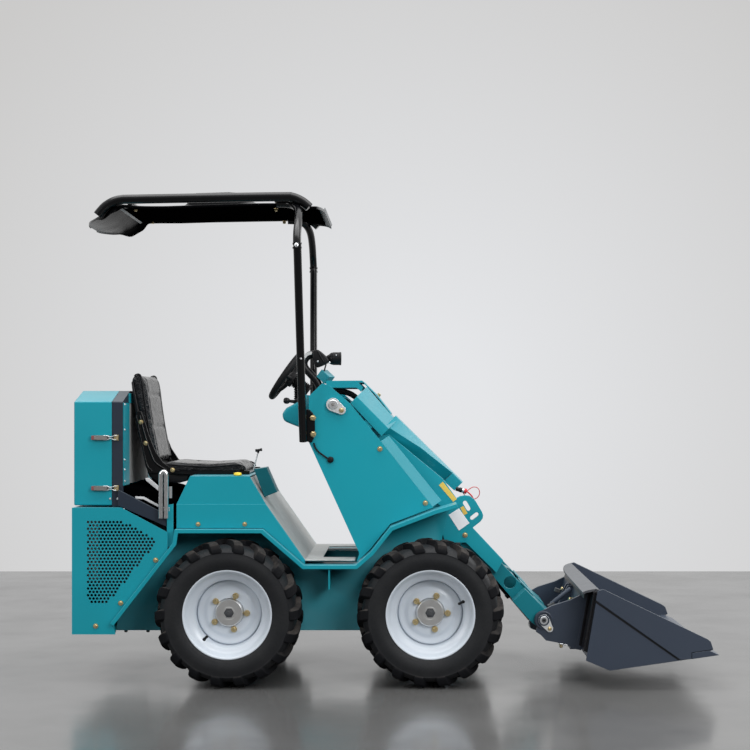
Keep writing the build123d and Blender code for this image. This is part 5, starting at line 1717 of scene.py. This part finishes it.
# turned part of the ear's pin: finish, slot, shading angle, how far it is held out, segments, profile
for name, finish, slot, smooth, out, segments, profile in [
    ("ear_washers", "zinc_plate", "steel", 35, 5, 36,
     [(0, 0), (17.5, 0), (17.5, 2.5), (15.5, 4), (9.5, 4), (9.5, 1.0), (0, 1.0)]),
    ("ear_nuts", "cast_iron", "steel", 30, 5, 6, [(0, 0), (9, 0), (9, 5.5), (4, 5.5), (4, 3), (0, 3)]),
    ("ear_rims", "charcoal_paint", "frame_paint", 40, -0.5, 40,
     [(31, 0), (36.5, 0), (36.5, 3.4), (34.5, 5), (31, 5), (31, 0)]),
]:
    place = aim_matrix((ear_x, ear_face - out, ear_z), OUTWARD)
    shape_piece(name, [(turned_shape, profile, place, segments)],
                finish, "bucket", smooth=smooth, mirrored=True)
fasten("ear_bolts", [(635, ear_face - 5, 216)], "bucket", head=6.5, height=5, washer=8)
fasten("ear_lower_bolts", [(682, -338, 151, DOWN)], "bucket", head=7, height=9, washer=9.5)
shape_piece("ear_clips", [
    (block, Matrix.Translation((692, -338, 152)) @ Matrix.Rotation(radians(12), 4, "Y"), (34, 18, 5)),
], "zinc_plate", "bucket", edge=(1.2,), mirrored=True)
shape_piece("lock_levers", [(round_tube, [(650, -250, 303), (730, -250, 366)], 9.5, 18)],
            "charcoal_paint", "bucket", smooth=40)
shape_piece("lock_clamps", [
    (block, Matrix.Translation((650, -250, 300)) @ Matrix.Rotation(radians(-30), 4, "Y"), (30, 24, 14)),
    (block, Matrix.Translation((706, 70, 322)) @ Matrix.Rotation(radians(20), 4, "Y"), (24, 24, 18)),
], "cast_iron", "bucket", smooth=40, edge=(2.5, 3))
fasten("lock_bolts", [(736, 60, 327, (-0.9, -0.3, 0.3)), (736, -250, 320, (-0.9, -0.3, 0.3))],
       "bucket", head=9, height=12, washer=11, both_sides=False)

# ================================================================ bucket
bucket_outer, side_thickness, overlay_thickness, back_half = 536.0, 8.0, 6.0, 346.0
SIDE_OUTLINE = [
    (814, 394), (828, 396), (838, 391), (1234, 202), (1247, 192), (1258, 160), (1174, 124), (853, 77.5),
    (760, 117), (803, 367)]
OVERLAY_OUTLINE = [
    (799, 354), (803, 380), (810, 393), (828, 397), (838, 392), (1234, 203), (1247, 193), (1257, 163),
    (1240, 160), (1172, 150), (1172, 124), (1130, 121)]
BACK_OUTER = [
    (807, 386), (766, 150), (764, 138), (766, 128), (772, 119), (782, 112), (838, 87), (853, 83), (868, 83),
    (1176, 127.5)]
BACK_INNER = [
    (815, 385), (774, 151), (772, 139), (773.5, 131), (778, 125), (786, 119), (841, 95), (854, 91), (868, 91),
    (1176, 135.5)]
bucket_bm = bmesh.new()
inside = bucket_outer - side_thickness
for side in BOTH_SIDES:
    plate_xz(bucket_bm, SIDE_OUTLINE, *sorted((side * bucket_outer, side * inside)))
    overlay_outer = bucket_outer + overlay_thickness
    plate_xz(bucket_bm, OVERLAY_OUTLINE, *sorted((side * overlay_outer, side * bucket_outer)))
plate_xz(bucket_bm, BACK_OUTER + BACK_INNER[::-1], -inside, inside)
plate_xz(bucket_bm, [(739, 133), (762, 128), (802, 362), (785, 356)], -back_half, back_half)
bevelled(bucket_bm, 1.6)
# a near-black strip along the overlay's lower edge: painted shadow under it
shape_piece("overlay_shadow_lines", [
    (plate_xz, [(797.5, 352), (1128, 121.5), (1118, 120.3), (796, 345)],
     -bucket_outer - 0.8, -bucket_outer + 0.4),
], "black_plastic", "bucket", smooth=None, mirrored=True)
# near-black plates and a rib on the bucket's back, between the coupler's ears and the sides: painted shade
shade_plates = []
for side in BOTH_SIDES:
    skin = [(765, 148), (806, 384), (801, 385), (760, 149)]
    shade_plates.append((plate_xz, skin, *sorted((side * 527, side * 350))))
    for near, far in ((358, 366), (512, 520)):
        rib = [(760, 149), (801, 385), (791, 384), (751, 152)]
        shade_plates.append((plate_xz, rib, *sorted((side * near, side * far))))
shade_plates.append((plate_xz, [(762, 375), (768, 375), (764, 352), (758, 352)], -470, 280))
shape_piece("bucket_back_shade", shade_plates, "black_plastic", "bucket", edge=(1.5,))
# the flange on the bucket's back edge: its near corner is round, its far end is cut back
flange_rear, flange_side, corner_radius, flange_slope = 748.0, 592.0, 56.0, 0.155
near_corner = [
    (flange_rear + corner_radius - corner_radius * sin(radians(k * 15)),
     corner_radius * cos(radians(k * 15)) - flange_side + corner_radius) for k in range(7)]
far_corner = [(752, 120), (757, 290), (763, 390), (772, 455), (785, 503), (799, 527)]
flange_outline = [
    (x, y, 384 + (x - flange_rear) * flange_slope)
    for x, y in [(814, -bucket_outer), *near_corner, *far_corner, (814, bucket_outer)]]
shape_piece("bucket_flange", [(slab, flange_outline, (0, 0, -10))],
            "worn_steel", "bucket", smooth=40, edge=(3.0, 3))
make_piece("bucket_shell", bucket_bm, "charcoal_paint", "bucket", ("bucket",), smooth=35)

# ================================================================ controls
far_y = 286.0
neck_path = [(-318, far_y, 1150), (-322, far_y, 1180), (-340, far_y, 1222), (-366, far_y, 1254),
    (-390, far_y, 1280),
             (-399, far_y, 1302), (-392, far_y, 1326), (-372, far_y, 1342), (-345, far_y, 1346)]
shape_piece("lamp_arm", [
    (round_tube, smooth_line(neck_path, 6), 17.0, 22),
    (block, (-319, 304, 1154), (26, 26, 32)),
], "black_plastic", "chassis", ("lamp_neck",), smooth=50)
pod_bm = bmesh.new()
plate_xz(pod_bm, [
    (-360, 1352), (-352, 1362), (-336, 1366), (-322, 1357), (-306, 1343), (-288, 1326), (-282, 1313),
    (-300, 1301), (-321, 1292), (-340, 1285), (-350, 1297), (-358, 1324)], far_y - 36, far_y + 22)
bevelled(pod_bm, 9.0, 4, 16.0)
ridge = [(-334, far_y - 37, 1356), (-322, far_y - 38, 1334), (-308, far_y - 37, 1310)]
round_tube(pod_bm, smooth_line(ridge, 6), 3.0, 10)
make_piece("pod_shell", pod_bm, "black_plastic", "chassis", ("gauge_pod",), smooth=60)
shape_piece("lamp_shell", [
    (turned_shape, [
        (0, 0), (10, 0), (14, 4), (18, 12), (24, 19), (27, 24), (27.4, 30), (28.6, 31), (28.6, 58),
        (29.4, 60), (29.4, 66), (27, 67), (26, 63),
        (0, 63)], aim_matrix((-300, far_y - 5, 1326), (1, 0, 0)), 40),
], "black_plastic", "chassis", ("work_lamp",), smooth=40)
screws = [
    (turned_shape, [(0, 0), (radius, 0), (radius, 2), (radius * 0.6, 3.4), (0, 3.4)],
        aim_matrix(spot, OUTWARD), 16)
    for spot, radius in (
        ((-335.6, far_y - 38, 1312.5), 4.2), ((-285, far_y - 24, 1309), 5.0),
        ((-254, far_y - 34, 1340), 3.0))]
screws.append(
    (turned_shape, [(0, 0), (4.2, 0), (4.2, 3), (0, 4)], aim_matrix((-361, -445, 1302), OUTWARD), 14))
shape_piece("control_screws", screws, "zinc_plate", "chassis", smooth=40)
shape_piece("lamp_bracket", [
    (plate_xz, [(-406, 1330), (-390, 1350), (-362, 1357), (-362, 1345), (-380, 1338), (-391, 1326),
        (-397, 1310),
                (-406, 1314)], far_y - 34, far_y - 28),
], "keeper_white", "chassis", smooth=40, edge=(1.0,))
cord_piece("lamp_lead", [(-300, far_y - 10, 1300), (-306, far_y - 16, 1280), (-312, far_y - 10, 1250),
                         (-314, far_y, 1190), (-316, far_y + 6, 1160)],
           3.2, "black_rubber", "chassis")
cord_piece("post_wire", [(-317, -336, 965), (-311, -336, 940), (-285, -336, 918), (-262, -336, 903)],
           3.4, "black_rubber", "chassis", ("lamp_wire",))
shape_piece("wire_grommet", [
    (turned_shape, [(0, 0), (13, 0), (13, 7), (11, 10), (5, 12), (0, 12)],
        aim_matrix((-250, -330, 897), OUTWARD), 28),
], "black_rubber", "chassis", smooth=50)

rim_axis = Vector((0.824, 0.0, -0.566)).normalized()
frame_at = aim_matrix((-454.7, 0.0, 1244.5), rim_axis)
grip_middle, grip_radius = 107.0, 13.6
grip_angles = [2 * pi * k / 18 for k in range(18)]
grip_section = [(grip_middle + grip_radius * cos(a), grip_radius * sin(a)) for a in grip_angles]
wheel_bm = bmesh.new()
closed_lathe(wheel_bm, grip_section, frame_at, 72)
turned_shape(wheel_bm, [(0, 8), (20, 8), (26, 12), (32, 15), (33, 38), (28, 41), (0, 41)], frame_at, 36)
for k in range(3):
    turn = frame_at @ Matrix.Rotation(radians(60 + 120 * k), 4, "Z")
    path = [turn @ Vector(p) for p in ((24, 0, 22), (52, 0, 17), (80, 0, 8), (104, 0, 1))]
    round_tube(wheel_bm, smooth_line(path, 5), 8.0, 14, radii=[10 - 3 * step / 15 for step in range(16)])
make_piece("steering_rim", wheel_bm, "black_rubber",
           "steering_wheel", ("steering_wheel",), smooth=50)
column_folds = [part for k in range(9) for part in ((28, 46 + 7.5 * k), (22, 49.5 + 7.5 * k))]
shape_piece("column_boot", [
    (turned_shape, [(0, 43), (20, 43), *column_folds, (24, 116), (0, 116)], frame_at, 32),
], "black_rubber", "chassis", ("steering_column",), smooth=45)


def control_lever(bm, foot, tip):
    """A lever's ribbed gaiter, its rod and its knob, from a foot to a tip."""
    aim = Vector(tip) - Vector(foot)
    reach = aim.length
    turned_shape(bm, [
        (0, -10), (17, -10), (17, -2), (13, 1), (15, 4), (11, 7), (13, 10), (8.5, 13), (7, 16),
        (6.5, reach - 12), (10, reach - 10), (13, reach - 3), (13.4, reach + 4), (12, reach + 10),
        (7, reach + 14), (0, reach + 15)],
        aim_matrix(foot, aim), 24)


shape_piece("lever_shapes", [
    (control_lever, (-404, -66, 1132), (-447, -66, 1137)),
    (control_lever, (-378, 60, 1142), (-402, 60, 1186)),
], "black_plastic", "chassis", ("control_levers",), smooth=45)
boot_folds = [part for k in range(7) for part in ((21, 2 + 9 * k), (15.5, 6.5 + 9 * k))]
shape_piece("valve_boot", [
    (turned_shape, [(0, 0), *boot_folds, (12, 66), (0, 66)], Matrix.Translation((-402, -8, 1128)), 28),
], "black_rubber", "chassis", smooth=45)
